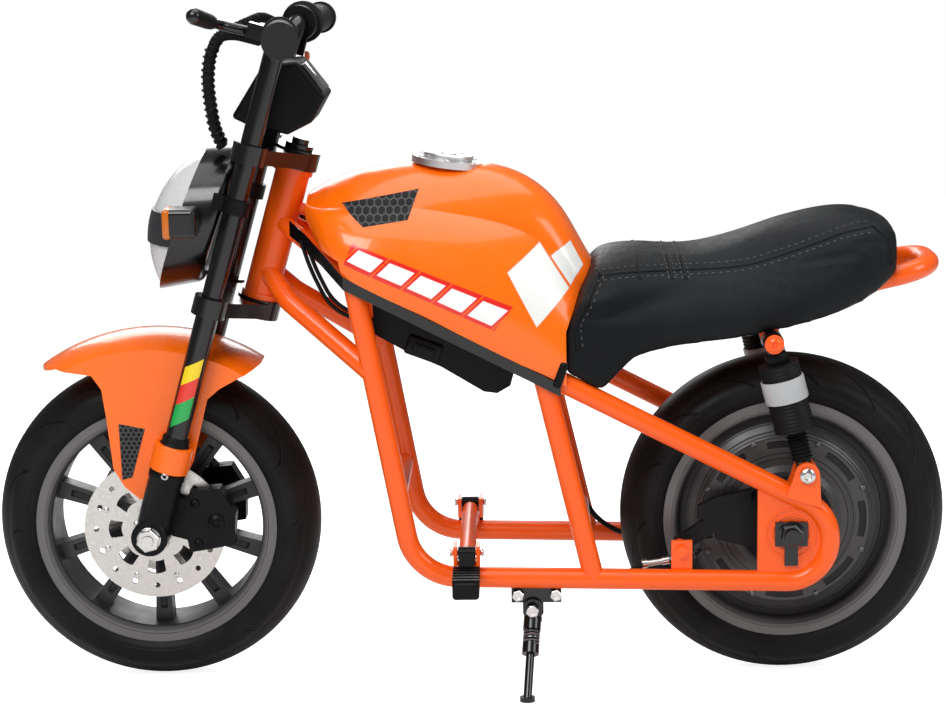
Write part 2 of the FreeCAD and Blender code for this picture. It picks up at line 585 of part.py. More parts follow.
def build_headlight():
    """A drum whose faces are raked like the fork, open in front, with a domed lens."""
    forward = Vector(1, 0, 0)

    def ring(d, s, radius):
        return Part.Wire(Part.makeCircle(radius, Vector(d, 0, s), forward))

    outer = Part.makeLoft([ring(LENS_D, LENS_S, HOUSING_R), ring(HOUSING_BACK_D, HOUSING_BACK_S, HOUSING_BACK_R)], True, True)
    inner = Part.makeLoft([ring(LENS_D + 1, LENS_S, HOUSING_R - HOUSING_WALL),
                           ring(HOUSING_BACK_D + HOUSING_WALL, HOUSING_BACK_S, HOUSING_BACK_R - HOUSING_WALL)], True, True)
    back_edge = [edge for edge in outer.Edges if edge.Closed and abs(edge.CenterOfMass.x - HOUSING_BACK_D) < 1]
    mouth = Part.makeCylinder(HOUSING_R - HOUSING_WALL, 8, Vector(LENS_D - 6, 0, LENS_S), forward)
    housing = outer.makeFillet(9, back_edge).cut(inner).cut(mouth)
    ball_r = (LENS_R ** 2 + LENS_RISE ** 2) / (2 * LENS_RISE)
    ball = Vector(LENS_D + LENS_RISE - ball_r, 0, LENS_S)
    ahead = Part.makeBox(200, 400, 400, Vector(LENS_D + 0.3, -200, LENS_S - 200))
    rim = Part.makeCylinder(HOUSING_R - HOUSING_WALL - SEAT_GAP, 6, Vector(LENS_D - 5.7, 0, LENS_S), forward)
    rim = rim.cut(Part.makeCylinder(HOUSING_R - HOUSING_WALL - 5, 20, Vector(LENS_D - 10, 0, LENS_S), forward))
    dome = Part.makeSphere(ball_r, ball).cut(Part.makeSphere(ball_r - 3, ball)).common(ahead)
    dome = fused([dome, rim])
    band = Part.makeSphere(ball_r + 2.5, ball).cut(Part.makeSphere(ball_r + SEAT_GAP, ball)).common(ahead)
    centre = Vector(LENS_D, 0, LENS_S)
    tilt = FreeCAD.Placement(Vector(0, 0, 0), FreeCAD.Rotation(ALONG_Y, HEADLIGHT_TILT_DEG), centre)

    def settle(shape):
        shape = shape.copy()
        shape.Placement = tilt.multiply(shape.Placement)
        return on_fork(shape)

    pieces["headlight_housing"] = settle(housing)
    low, high, y = BRACKET_S
    ring_outer = rod((FORK_OFFSET, y, low), (FORK_OFFSET, y, high), FORK_TUBE_R + 4)
    tab = Part.makeBox(24, 14, high - low, Vector(FORK_OFFSET, y - 6, low))
    bracket = fused([ring_outer, tab])
    bracket = bracket.cut(rod((FORK_OFFSET, y, low - 1), (FORK_OFFSET, y, high + 1), FORK_TUBE_R + SEAT_GAP))
    pieces["headlight_brackets"] = pair(biggest(on_fork(bracket).cut(pieces["headlight_housing"])))
    pieces["headlight_lens"] = settle(dome)
    slab = Part.makeBox(400, 400, BAND_HIGH_Z - BAND_LOW_Z, Vector(100, -200, BAND_LOW_Z))
    band = settle(band).common(slab)
    pieces["headlight_band"] = biggest(band)
    lamp = Part.makeBox(34, 36, 30, Vector(270, 88, 499))
    lamp = lamp.makeFillet(5, lamp.Edges)
    stalk = rod((287, 70, 514), (287, 90, 514), 7).cut(pieces["headlight_housing"])
    stalk = max(stalk.Solids, key=lambda solid: solid.CenterOfMass.y)
    pieces["turn_signals"] = pair(fused([lamp, stalk]))


def build_dash():
    outline = [(73, 98), (55, 159), (22, 172), (-16, 144), (-9, 115), (12, 96), (56, 95)]
    face = face_of(outline[0], outline[1:], lambda d, s: Vector(d, -46, s))
    body = face.extrude(Vector(0, 92, 0))
    body = body.makeFillet(4, body.Edges)
    clamp_top = UPPER_CLAMP_LOW + CLAMP_HEIGHT
    foot = Part.makeBox(22, 40, 24, Vector(24, -20, clamp_top - 2))
    body = fused([body, foot])
    pieces["dash_display"] = on_fork(body)


# Brake hose in its spiral wrap, from the left perch to the back of the headlight (x, y, z)
HOSE_R = 5.5
HOSE_ROUTE = [(200, 105, 697), (226, 92, 703), (243, 88, 702), (254, 82, 684), (259, 74, 656),
              (258, 66, 630), (256, 58, 606), (249, 50, 586)]


def route_bends(route):
    """Each corner's bend radius is 0.45 of its shorter run over the tangent of half the turn."""
    radii = []
    for before, corner, after in zip(route, route[1:], route[2:]):
        back = Vector(*before) - Vector(*corner)
        on = Vector(*after) - Vector(*corner)
        turn = math.pi - back.getAngle(on)
        radii.append(0.45 * min(back.Length, on.Length) / math.tan(turn / 2))
    return radii


def build_cables():
    radii = route_bends(HOSE_ROUTE)
    print("brake hose bends", [round(r) for r in radii])
    hose = bent_tube(HOSE_ROUTE, radii, HOSE_R)
    hose = hose.cut(pieces["headlight_housing"]).cut(pieces["lever_perch"])
    pieces["brake_hose"] = biggest(hose)


# Tank sections: x, floor z, floor half width, bulge z, bulge half width, shoulder z,
# shoulder half width, top z
TANK_SECTIONS = [
    (166.0, 505.0, 40.0, 514.0, 45.0, 521.0, 32.0, 529.0),
    (146.0, 477.0, 82.0, 494.0, 86.0, 520.0, 54.0, 541.0),
    (118.0, 452.0, 107.0, 484.0, 107.0, 523.0, 64.0, 551.0),
    (60.0, 422.2, 107.5, 464.0, 112.0, 522.0, 70.0, 560.0),
    (10.0, 396.4, 107.5, 450.0, 113.0, 514.0, 68.0, 561.0),
    (-60.0, 360.2, 107.5, 420.0, 110.0, 494.0, 62.0, 547.0),
    (-104.0, 337.5, 107.0, 390.0, 103.0, 460.0, 56.0, 508.0),
    (-138.0, 320.0, 104.0, 360.0, 98.0, 416.0, 50.0, 450.0),
]
TANK_REAR = [(-104.0, 340.0), (-104.0, 394.0), (-118.5, 430.0), (-137.0, 460.0)]
TANK_NOTCH = [(-150.0, 300.0), (-60.0, 300.0), (-60.0, 386.0), (-150.0, 386.0)]


def tank_section(x, floor_z, floor_y, bulge_z, bulge_y, shoulder_z, shoulder_y, top_z):
    def at(y, z):
        return Vector(x, y, z)

    edges = [Part.LineSegment(at(-floor_y, floor_z), at(floor_y, floor_z)).toShape(),
             Part.Arc(at(floor_y, floor_z), at(bulge_y, bulge_z), at(shoulder_y, shoulder_z)).toShape(),
             Part.Arc(at(shoulder_y, shoulder_z), at(0, top_z), at(-shoulder_y, shoulder_z)).toShape(),
             Part.Arc(at(-shoulder_y, shoulder_z), at(-bulge_y, bulge_z), at(-floor_y, floor_z)).toShape()]
    return Part.Wire(edges)


def build_tank():
    tank = Part.makeLoft([tank_section(*row) for row in TANK_SECTIONS], True, False)
    behind = side_plate(TANK_REAR[0], TANK_REAR[1:] + [(-220, 460), (-220, 300), (-104, 300)], -150, 150)
    slope_low = side_plate((-150, stay_z(-150)), [(200, stay_z(200)), (200, 250), (-150, 200)], -150, 150)
    half = FRAME_HALF_SPACING + TUBE_R + TANK_TUBE_GAP
    clear = TUBE_R / math.cos(math.atan(STAY_SLOPE)) + TANK_TUBE_GAP
    channel = side_plate((-150, stay_z(-150) + clear), [(220, stay_z(220) + clear), (220, 300), (-150, 200)], -half, half)
    notch = side_plate(TANK_NOTCH[0], TANK_NOTCH[1:], -SUBFRAME_HALF_SPACING - 14, SUBFRAME_HALF_SPACING + 14)
    pieces["tank"] = biggest(tank.cut(behind).cut(slope_low).cut(channel).cut(notch))
    pieces["tank_cap"] = fused([rod((18, 0, 557), (17, 0, 564), 38), rod((17.6, 0, 560), (17, 0, 567), 26)])
    pieces["tank_cap"] = pieces["tank_cap"].cut(pieces["tank"])
    pieces["tank_cap"] = biggest(pieces["tank_cap"])


def build_trim():
    stations = [(184, 37, 505, 489), (166, 58, 493, 478), (146, 84, 476, 462), (124, 107.6, 455, 442)]
    stations += [(x, 107.6, stay_z(x) - 0.5, stay_z(x) - TRIM_DROP) for x in (90, 10, -60, -98)]
    rings = []
    for x, outer, top, low in stations:
        inner = outer - TRIM_WALL
        corners = [(inner, top), (outer, top), (outer, low), (inner, low)]
        rings.append(Part.makePolygon([Vector(x, y, z) for y, z in corners + corners[:1]]))
    pieces["tank_trim"] = pair(Part.makeLoft(rings, True, True))


BATTERY_HALF = 66.0


def build_battery():
    top = TUBE_R / math.cos(math.atan(STAY_SLOPE)) + TANK_TUBE_GAP
    lip = [(98, stay_z(98) + top), (96, 388), (61, 368), (26, 352), (-18, 325), (-32, 323), (-46, 331),
           (-58, stay_z(-58) + top)]
    pieces["battery_box"] = side_plate(lip[0], lip[1:], -BATTERY_HALF, BATTERY_HALF)


# Seat sections: x, underside z, underside half width, side z, side half width, top edge z,
# top edge half width, top z
SEAT_SECTIONS = [
    (-106.0, 352.0, 98.0, 380.0, 101.0, 400.0, 96.0, 402.0),
    (-136.0, 352.0, 99.0, 400.0, 101.0, 438.0, 88.0, 462.0),
    (-190.0, 370.0, 97.0, 410.0, 99.0, 444.0, 84.0, 467.0),
    (-260.0, 381.0, 95.0, 415.0, 98.0, 446.0, 84.0, 469.0),
    (-330.0, 393.0, 94.0, 430.0, 97.0, 458.0, 84.0, 491.0),
    (-400.0, 414.0, 88.0, 455.0, 92.0, 486.0, 78.0, 507.0),
    (-448.0, 446.0, 66.0, 466.0, 70.0, 486.0, 60.0, 492.0),
]


def build_seat():
    seat = Part.makeLoft([tank_section(*row) for row in SEAT_SECTIONS], True, False)
    skirt = side_plate((-104, 345), [(-104, 394), (-118, 428), (-150, 430), (-180, 372), (-142, 332)], -101, 101)
    shifted = [(x - SEAT_TO_TANK_GAP, z) for x, z in TANK_REAR]
    front = side_plate(shifted[0], shifted[1:] + [(0, 470), (0, 300), (shifted[0][0], 300)], -150, 150)
    y = FRAME_HALF_SPACING
    clear = TUBE_R / math.cos(math.atan(STAY_SLOPE)) + 0.4
    below = side_plate((-220, stay_z(-220) + clear), [(-60, stay_z(-60) + clear), (-60, 200), (-220, 150)], -150, 150)
    hollow = side_plate((-90, 300), [(-90, 386), (-330, 400), (-420, 430), (-420, 300)],
                        -SUBFRAME_HALF_SPACING - 14, SUBFRAME_HALF_SPACING + 14)
    seat = fused([seat, skirt]).cut(front).cut(below).cut(hollow)
    x, z = SHOCK_TOP
    for sign in (-1, 1):
        seat = seat.cut(rod((x, sign * (y - 14), z), (x, sign * (y + 24), z), SHOCK_EYE_R + 1.5))
    pieces["seat"] = biggest(seat)
    pieces["seat"] = pieces["seat"].cut(pieces["seat_subframe"])
    pieces["seat"] = biggest(pieces["seat"])


PEG_PIN = (2.2, 156.0)
PEG_BAR_R = 9.0
PEG_LENGTH = 66.0


def build_pegs():
    x, z = PEG_PIN
    y = FRAME_HALF_SPACING
    bar = rod((x, -y, z - 2), (x, y, z - 2), PEG_BAR_R)
    ears = []
    for sign in (-1, 1):
        for ear_x in (x - 14, x + 10):
            ear = Part.makeBox(4, 22, 22, Vector(ear_x, y - 6 if sign > 0 else -y - 16, z - 10))
            ears.append(ear)
        foot = Part.makeBox(20, 16, 14, Vector(x - 10, y - 8 if sign > 0 else -y - 8, z - 20))
        ears.append(foot)
        ears.append(rod((x - 16, sign * (y + 10), z + 4), (x + 16, sign * (y + 10), z + 4), 3))
    carrier = fused([bar] + ears).cut(frame_loop()).cut(mirrored(frame_loop()))
    pieces["peg_bar"] = biggest(carrier)
    pin_y = y + 10
    peg_low = z - 28
    tread = Part.makeBox(28, PEG_LENGTH - 8, 19, Vector(x - 14, pin_y + 8, peg_low))
    tread = tread.makeFillet(4, tread.Edges)
    ribs = [Part.makeBox(28, 4, 3, Vector(x - 14, pin_y + 13 + 9 * n, peg_low + 18)) for n in range(6)]
    knuckle = rod((x - 9, pin_y, z + 4), (x + 9, pin_y, z + 4), 6.5)
    arm = face_of((pin_y - 5, z + 6), [(pin_y + 6, z + 6), (pin_y + 14, peg_low + 16), (pin_y + 14, peg_low + 4),
                                       (pin_y + 8, peg_low + 4), (pin_y - 3, z)], lambda a, b: Vector(x - 8, a, b))
    peg = fused([tread, knuckle, arm.extrude(Vector(16, 0, 0))] + ribs)
    peg = peg.cut(rod((x - 30, pin_y, z + 4), (x + 30, pin_y, z + 4), 3.1)).cut(frame_loop())
    pieces["peg_left"], pieces["peg_right"] = peg, mirrored(peg)


# Side stand: its pivot, and where its foot comes down
STAND_PIVOT = (-66.0, 95.0, 96.0)
STAND_FOOT_X = -59.6
STAND_FOOT_Y = 150.0
STAND_FOOT_R = 8.0
STAND_FOOT_WALL = 5.0
STAND_PLATE_WALL = 5.0


def floor_z(y):
    """Height of the floor's plane in the upright frame, once the bike leans on its stand."""
    sink = TYRE_CROWN_R * (math.cos(LEAN) - 1)
    return (y * math.sin(LEAN) + sink) / math.cos(LEAN)


def build_stand():
    y = FRAME_HALF_SPACING
    plate = side_plate((-97, 121), [(-44, 121), (-44, 102), (-97, 102)], y - 4, y + 1).cut(frame_loop())
    plate = biggest(plate)
    px, py, pz = STAND_PIVOT
    lug = side_plate((px - 12, 112), [(px + 10, 112), (px + 10, pz - 6), (px - 1, pz - 12, px - 12, pz - 6)], y - 4, y + 1)
    bolts = [rod((x, y + 1, 111), (x, y + 5, 111), 5) for x in (-91, -51)]
    pivot = rod((px, y - 4, pz), (px, y + 12, pz), 4)
    pieces["stand_bracket"] = fused([plate, lug, pivot] + bolts)

    foot_top = Vector(STAND_FOOT_X, STAND_FOOT_Y, floor_z(STAND_FOOT_Y))
    up = Vector(0, -math.sin(LEAN), math.cos(LEAN))
    disc = Part.makeCylinder(STAND_FOOT_R, STAND_FOOT_WALL, foot_top, up)
    cheek = side_plate((px - 10, pz + 6), [(px, pz + 11, px + 9, pz + 6), (px + 9, pz - 14), (px - 10, pz - 14)], y + 1.3, y + 6.3)
    cheek = cheek.cut(rod((px, y - 10, pz), (px, y + 20, pz), 4.1))
    top = Vector(px, y + 4, pz - 12)
    end = foot_top + up * STAND_FOOT_WALL / 2
    leg_line = (end - top)
    unit = Vector(leg_line).normalize()

    def at(share):
        point = top + unit * (leg_line.Length * share)
        return (point.x, point.y, point.z)

    leg = [rod(at(0), at(1), 4.5), rod(at(0), at(0.14), 9.5), rod(at(0.14), at(0.30), 7),
           rod(at(0.30), at(0.44), 9)]
    pieces["stand_leg"] = fused([cheek, disc] + leg)


def build_all():
    build_frame()
    build_subframe()
    build_shocks()
    build_rear_axle()
    build_front_wheel()
    build_rear_wheel()
    build_fork()
    build_calipers()
    build_fender()
    build_headlight()
    build_dash()
    build_cables()
    build_tank()
    build_trim()
    build_battery()
    build_seat()
    build_pegs()
    build_stand()


def place_on_stand(shape):
    """Leans a piece to the left about the line under the tyres, then centres the bike."""
    grip_z = STEER_Z + BAR_END_S * math.cos(RAKE) + BAR_END_D * math.sin(RAKE)
    sink = TYRE_CROWN_R * (math.cos(LEAN) - 1)
    shape = shape.copy()
    shape.rotate(Vector(0, 0, 0), Vector(1, 0, 0), -LEAN_DEG)
    shape.translate(Vector(0, -grip_z * math.sin(LEAN), -sink))
    return shape


build_all()
os.makedirs("parts", exist_ok=True)
for name, shape in pieces.items():
    placed = place_on_stand(shape)
    if not placed.isValid() or len(placed.Solids) < 1:
        print("CHECK", name, placed.isValid(), len(placed.Solids))
    placed.exportStep("parts/" + name + ".step")
print(len(pieces), "pieces")
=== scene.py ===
# %% [markdown]
# A small electric motorcycle for a child, dressed round its solid model. The solids already have
# the right places and sizes, so every cell below adds what the eye reads as real: rubber with
# grooves, a sewn seat, moulded housings, bolts, springs, wraps, and the finish of each surface.

# %% Load the solid model
import math
import bmesh
import bpy
from mathutils import Matrix, Vector
from mathutils.bvhtree import BVHTree


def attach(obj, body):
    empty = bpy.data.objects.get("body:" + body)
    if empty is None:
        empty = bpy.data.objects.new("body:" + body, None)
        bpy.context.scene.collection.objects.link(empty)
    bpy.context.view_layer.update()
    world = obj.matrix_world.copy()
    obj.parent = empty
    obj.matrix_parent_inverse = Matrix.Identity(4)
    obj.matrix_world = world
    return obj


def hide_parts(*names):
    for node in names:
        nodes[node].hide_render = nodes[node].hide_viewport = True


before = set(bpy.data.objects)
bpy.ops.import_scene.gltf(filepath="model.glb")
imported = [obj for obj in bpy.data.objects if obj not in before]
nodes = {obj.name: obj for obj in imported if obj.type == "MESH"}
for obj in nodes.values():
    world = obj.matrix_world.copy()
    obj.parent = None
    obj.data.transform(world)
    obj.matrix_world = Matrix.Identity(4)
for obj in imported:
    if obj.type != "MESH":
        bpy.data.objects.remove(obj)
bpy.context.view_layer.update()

print("solid pieces:", len(nodes))

# %% [markdown]
# The bike is easiest to describe standing upright, in millimetres: x forward, y to the rider's
# left, z up from the floor. One matrix then leans it on its stand and turns millimetres into
# metres. A second one describes the fork along its own raked steering axis: forward, left, and up
# the axis. Every new shape is drawn in one of the two, and its place ends up in its mesh.

# %% The two places that shapes are drawn in
LEAN = math.radians(5.0)
RAKE = math.radians(16.3)
TYRE_R, CROWN_R = 175.0, 46.0
FRONT_X, REAR_X = 338.0, -338.0
STEER_X, STEER_Z = 197.4, 500.0
BAR_END_D, BAR_END_S = 28.6, 203.0
LEG_Y, SHOCK_Y = 72, 92
SHOCK_TOP_X, SHOCK_TOP_Z = -317, 380
SHOCK_FOOT_X, SHOCK_FOOT_Z = -353, 240
FORK_D = (FRONT_X - STEER_X) * math.cos(RAKE) + (TYRE_R - STEER_Z) * math.sin(RAKE)
AXLE_S = -(FRONT_X - STEER_X) * math.sin(RAKE) + (TYRE_R - STEER_Z) * math.cos(RAKE)
grip_z = STEER_Z + BAR_END_S * math.cos(RAKE) + BAR_END_D * math.sin(RAKE)
sink = CROWN_R * (math.cos(LEAN) - 1)
UPRIGHT = (Matrix.Scale(0.001, 4) @ Matrix.Translation((0, -grip_z * math.sin(LEAN), -sink))
           @ Matrix.Rotation(-LEAN, 4, "X"))
FORK = UPRIGHT @ Matrix.Translation((STEER_X, 0, STEER_Z)) @ Matrix.Rotation(-RAKE, 4, "Y")

# %% [markdown]
# The camera comes next, because everything is judged through it. Its place, turn and focal length
# were fitted to the wheels, the frame's two sides and the grips, which the photograph shows well.
# It leans with the bike, as the photograph was turned until the bike stood straight.

# %% Camera
FIT_X, FIT_D, FIT_Z = 395.525, 2377.651, 827.033
FIT_YAW, FIT_PITCH, FIT_ROLL = -0.0218347, 0.1970674, -0.0172902
FIT_FOCAL_PX, FIT_BASE = 2251.94, 675.586
FRAME_W, SENSOR = 946, 36.0

look = Vector((math.sin(FIT_YAW) * math.cos(FIT_PITCH), -math.cos(FIT_YAW) * math.cos(FIT_PITCH),
               -math.sin(FIT_PITCH)))
level = Vector((math.cos(FIT_YAW), math.sin(FIT_YAW), 0))
over = level.cross(look) * -1
over = over if over.z > 0 else -over
right = level * math.cos(FIT_ROLL) + over * math.sin(FIT_ROLL)
up = over * math.cos(FIT_ROLL) - level * math.sin(FIT_ROLL)


def to_model(v):
    """The fit measured x from the front axle backwards."""
    return Vector((-v.x, v.y, v.z))


axes = Matrix([to_model(right), to_model(up), -to_model(look)]).transposed().to_4x4()
spot = Vector((FIT_BASE / 2 - FIT_X, FIT_D, FIT_Z))
camera_data = bpy.data.cameras.new("camera")
camera_data.sensor_width = SENSOR
camera_data.lens = FIT_FOCAL_PX / FRAME_W * SENSOR
camera = bpy.data.objects.new("camera", camera_data)
bpy.context.collection.objects.link(camera)
leaned = UPRIGHT @ Matrix.Translation(spot) @ axes
camera.matrix_world = Matrix.LocRotScale(leaned.to_translation(), leaned.to_quaternion(), None)
bpy.context.scene.camera = camera
print("camera at", [round(v, 3) for v in camera.location], "lens", round(camera_data.lens, 1))

# %% [markdown]
# Product photographs are lit by broad soft boxes, which give long highlights on tubes and paint.
# A large lamp overhead, one at each side and a weak one from behind do that. The floor is matte
# and nearly white, and the world behind it is white to the camera but gives a dim light.

# %% Light and floor
scene = bpy.context.scene
scene.view_settings.view_transform = "Standard"


def softbox(name, place, aim, size, power):
    data = bpy.data.lights.new(name, "AREA")
    data.shape = "RECTANGLE"
    data.size, data.size_y = size
    data.energy = power
    lamp = bpy.data.objects.new(name, data)
    lamp.location = place
    lamp.rotation_euler = (Vector(aim) - Vector(place)).to_track_quat("-Z", "Y").to_euler()
    bpy.context.collection.objects.link(lamp)


softbox("key_box", (0.9, 2.2, 2.3), (0, 0, 0.35), (1.6, 1.1), 60)
softbox("top_box", (-0.2, 0.1, 2.6), (0, 0, 0.3), (3.0, 1.8), 42)
softbox("rear_box", (-2.2, 0.9, 1.5), (0, 0, 0.35), (0.9, 1.2), 17)
softbox("far_box", (0.6, -2.3, 1.6), (0, 0, 0.35), (1.6, 1.2), 24)

FLOOR_REACH = 12.0
bm = bmesh.new()
bmesh.ops.create_grid(bm, x_segments=1, y_segments=1, size=FLOOR_REACH)
floor_mesh = bpy.data.meshes.new("studio_floor")
bm.to_mesh(floor_mesh)
bm.free()
floor = bpy.data.objects.new("studio_floor", floor_mesh)
bpy.context.collection.objects.link(floor)

# %% [markdown]
# Materials are sums, so they read best as sums. The small class below stands for a value that
# varies over a surface. Adding or multiplying two of them adds the Math node that does it, and
# `Finish.add` makes any other node: first its settings, then what goes into its sockets.

# %% Shader sums
NOISE_LOW, NOISE_HIGH = 0.3, 0.7


class Shade:
    """One output of a node, with arithmetic."""

    def __init__(self, finish, socket):
        self.finish, self.socket = finish, socket

    def sums(self, operation, *values, clamp=False):
        return self.finish.add("ShaderNodeMath", dict(operation=operation, use_clamp=clamp), values)

    def __add__(self, other):
        return self.sums("ADD", self, other)

    def __radd__(self, other):
        return self.sums("ADD", other, self)

    def __sub__(self, other):
        return self.sums("SUBTRACT", self, other)

    def __rsub__(self, other):
        return self.sums("SUBTRACT", other, self)

    def __mul__(self, other):
        return self.sums("MULTIPLY", self, other)

    def __rmul__(self, other):
        return self.sums("MULTIPLY", other, self)

    def __pow__(self, other):
        return self.sums("POWER", self, other)

    def __gt__(self, other):
        return self.sums("GREATER_THAN", self, other)

    def __lt__(self, other):
        return self.sums("LESS_THAN", self, other)

    def held(self):
        return self.sums("ADD", self, 0, clamp=True)

    def size(self):
        return self.sums("ABSOLUTE", self)

    def sine(self):
        return self.sums("SINE", self)

    def part(self, step):
        return self.sums("PINGPONG", self, step)

    def ramp(self, low, high, start=0.0, end=1.0):
        values = {"Value": self, "From Min": low, "From Max": high, "To Min": start, "To Max": end}
        return self.finish.add("ShaderNodeMapRange", dict(clamp=True), values)


class Finish:
    """A material under construction, round one Principled shader."""

    def __init__(self, name, colour, roughness, metallic=0.0, **sockets):
        self.material = bpy.data.materials.new(name)
        self.material.use_nodes = True
        self.tree = self.material.node_tree
        self.shader = self.tree.nodes["Principled BSDF"]
        self.set("Base Color", (*colour, 1))
        self.set("Roughness", roughness)
        self.set("Metallic", metallic)
        for key, value in sockets.items():
            self.set(key.replace("_", " ").title().replace("Ior", "IOR"), value)
        self.coords = self.add("ShaderNodeTexCoord", {}, {}, out="Object")

    def feed(self, socket, value):
        if isinstance(value, Shade):
            self.tree.links.new(value.socket, socket)
        else:
            socket.default_value = value

    def add(self, kind, settings, values, out=0):
        node = self.tree.nodes.new(kind)
        for key, value in settings.items():
            setattr(node, key, value)
        pairs = values.items() if isinstance(values, dict) else enumerate(values)
        for key, value in pairs:
            self.feed(node.inputs[key], value)
        return Shade(self, node.outputs[out])

    def set(self, socket, value):
        self.feed(self.shader.inputs[socket], value)

    def mix(self, amount, first, second):
        """Between two colours, each a link or an (r, g, b)."""
        first, second = [v if isinstance(v, Shade) else (*v, 1) for v in (first, second)]
        return self.add("ShaderNodeMix", dict(data_type="RGBA"), {0: amount, 6: first, 7: second}, out=2)

    def noise(self, scale, detail=3.0):
        values = {"Vector": self.coords, "Scale": scale, "Detail": detail, "Roughness": 0.5}
        return self.add("ShaderNodeTexNoise", dict(noise_dimensions="3D"), values)

    def cells(self, scale, feature="F1"):
        values = {"Vector": self.coords, "Scale": scale}
        return self.add("ShaderNodeTexVoronoi", dict(feature=feature), values, "Distance")

    def uneven(self, scale, low, high):
        """Roughness that changes from place to place between two values."""
        self.set("Roughness", self.noise(scale).ramp(NOISE_LOW, NOISE_HIGH, low, high))

    def drawn_in(self, place):
        """The coordinates in the frame that a shape is drawn in, as three numbers in millimetres."""
        back = place.inverted()
        values = {"Vector": self.coords, "Location": back.to_translation(),
                  "Rotation": back.to_euler(), "Scale": back.to_scale()}
        drawn = self.add("ShaderNodeMapping", dict(vector_type="POINT"), values)
        node = self.tree.nodes.new("ShaderNodeSeparateXYZ")
        self.feed(node.inputs[0], drawn)
        return [Shade(self, output) for output in node.outputs]

    def about_axle(self, axle_x):
        """How far out from a wheel's axle, and the angle round it."""
        x, _, z = self.drawn_in(UPRIGHT)
        ahead, above = x - axle_x, z - TYRE_R
        return (ahead * ahead + above * above) ** 0.5, above.sums("ARCTAN2", above, ahead)

    def bump(self, height, strength, depth_m):
        values = {"Strength": strength, "Distance": depth_m, "Height": height}
        self.set("Normal", self.add("ShaderNodeBump", {}, values))


# %% [markdown]
# The world shows white to the camera and through the lens, and gives the bike only a dim light.
# The floor glows for the camera alone, and keeps the soft shadow under the tyres.

# %% World and floor finish
WORLD_LIGHT, PAPER_GLOW = 0.17, 0.87
world = bpy.data.worlds.new("studio_world")
scene.world = world
world.use_nodes = True
sky = world.node_tree
paths = sky.nodes.new("ShaderNodeLightPath")
shown = sky.nodes.new("ShaderNodeMath")
shown.operation = "MAXIMUM"
sky.links.new(paths.outputs["Is Camera Ray"], shown.inputs[0])
sky.links.new(paths.outputs["Is Transmission Ray"], shown.inputs[1])
strength = sky.nodes.new("ShaderNodeMapRange")
sky.links.new(shown.outputs[0], strength.inputs["Value"])
strength.inputs["To Min"].default_value = WORLD_LIGHT
strength.inputs["To Max"].default_value = 1.0
background = sky.nodes["Background"]
background.inputs["Color"].default_value = (1, 1, 1, 1)
sky.links.new(strength.outputs[0], background.inputs["Strength"])

paper = Finish("studio_paper", (0.93, 0.93, 0.93), 0.9, specular_ior_level=0.1)
paper.set("Emission Color", (1, 1, 1, 1))
seen = paper.add("ShaderNodeLightPath", {}, {}, out="Is Camera Ray")
paper.set("Emission Strength", seen * PAPER_GLOW)
floor.data.materials.append(paper.material)

# %% [markdown]
# Paint on steel tube is a colour under a clear coat, with a faint orange-peel ripple. The tank and
# fender are moulded plastic sprayed the same orange: flatter, a little yellower, and glossier.

# %% Orange finishes
ORANGE_TUBE = (0.95, 0.110, 0.003)
ORANGE_BODY = (1.0, 0.150, 0.002)


def drifting(finish, colour):
    """The colour, a little paler or deeper from place to place."""
    pale, deep = [min(1, c * 1.04) for c in colour], [c * 0.96 for c in colour]
    return finish.mix(finish.noise(9.0, 2.0), deep, pale)


def sprayed(name, colour, roughness, coat, peel_scale, peel_depth):
    finish = Finish(name, colour, roughness, coat_weight=coat, coat_roughness=0.06, specular_ior_level=0.3)
    finish.set("Base Color", drifting(finish, colour))
    finish.uneven(60.0, roughness - 0.04, roughness + 0.06)
    finish.bump(finish.noise(peel_scale, 1.0), 0.15, peel_depth)
    return finish


tube_paint = sprayed("orange_tube_paint", ORANGE_TUBE, 0.34, 0.35, 420.0, 0.0004)

# %% [markdown]
# The tank has a slanted stripe and two blank stickers on its side, and a dark honeycomb vent. They
# are thin films and shallow mouldings, so they are painted by place: an outline in (x, z) is a
# product of half-planes, one for each of its sides. A honeycomb is drawn where two interleaved
# grids of points are equally far away. The vent's cells are painted near black, as the shade
# inside the holes, and its walls a lighter black, as lit edges.

# %% Outlines and honeycomb
def inside(a, b, corners):
    """1 inside a convex outline and 0 outside it."""
    area = sum(p[0] * q[1] - q[0] * p[1] for p, q in zip(corners, corners[1:] + corners[:1]))
    corners = corners if area > 0 else corners[::-1]
    mask = 1
    for (a0, b0), (a1, b1) in zip(corners, corners[1:] + corners[:1]):
        mask = ((b - b0) * (a1 - a0) > (a - a0) * (b1 - b0)) * mask
    return mask


def grown(corners, by):
    """The outline moved outwards from its middle by about so many millimetres."""
    middle = Vector((sum(p[0] for p in corners), sum(p[1] for p in corners))) / len(corners)
    return [tuple(Vector(p) + (Vector(p) - middle).normalized() * by) for p in corners]


def honeycomb(a, b, cell, wire):
    """1 on the walls between six-sided cells."""
    half_a, half_b = cell / 2, cell * math.sqrt(3) / 2
    near_a, near_b = a.part(half_a), b.part(half_b)
    lead = near_a * (2 * half_a) + near_b * (2 * half_b) - (half_a ** 2 + half_b ** 2)
    slanted = lead.size() < cell * wire
    level = (lead < 0) * (near_a > half_a - wire / 2) + (lead > 0) * (near_a < wire / 2)
    return (slanted + level).held()


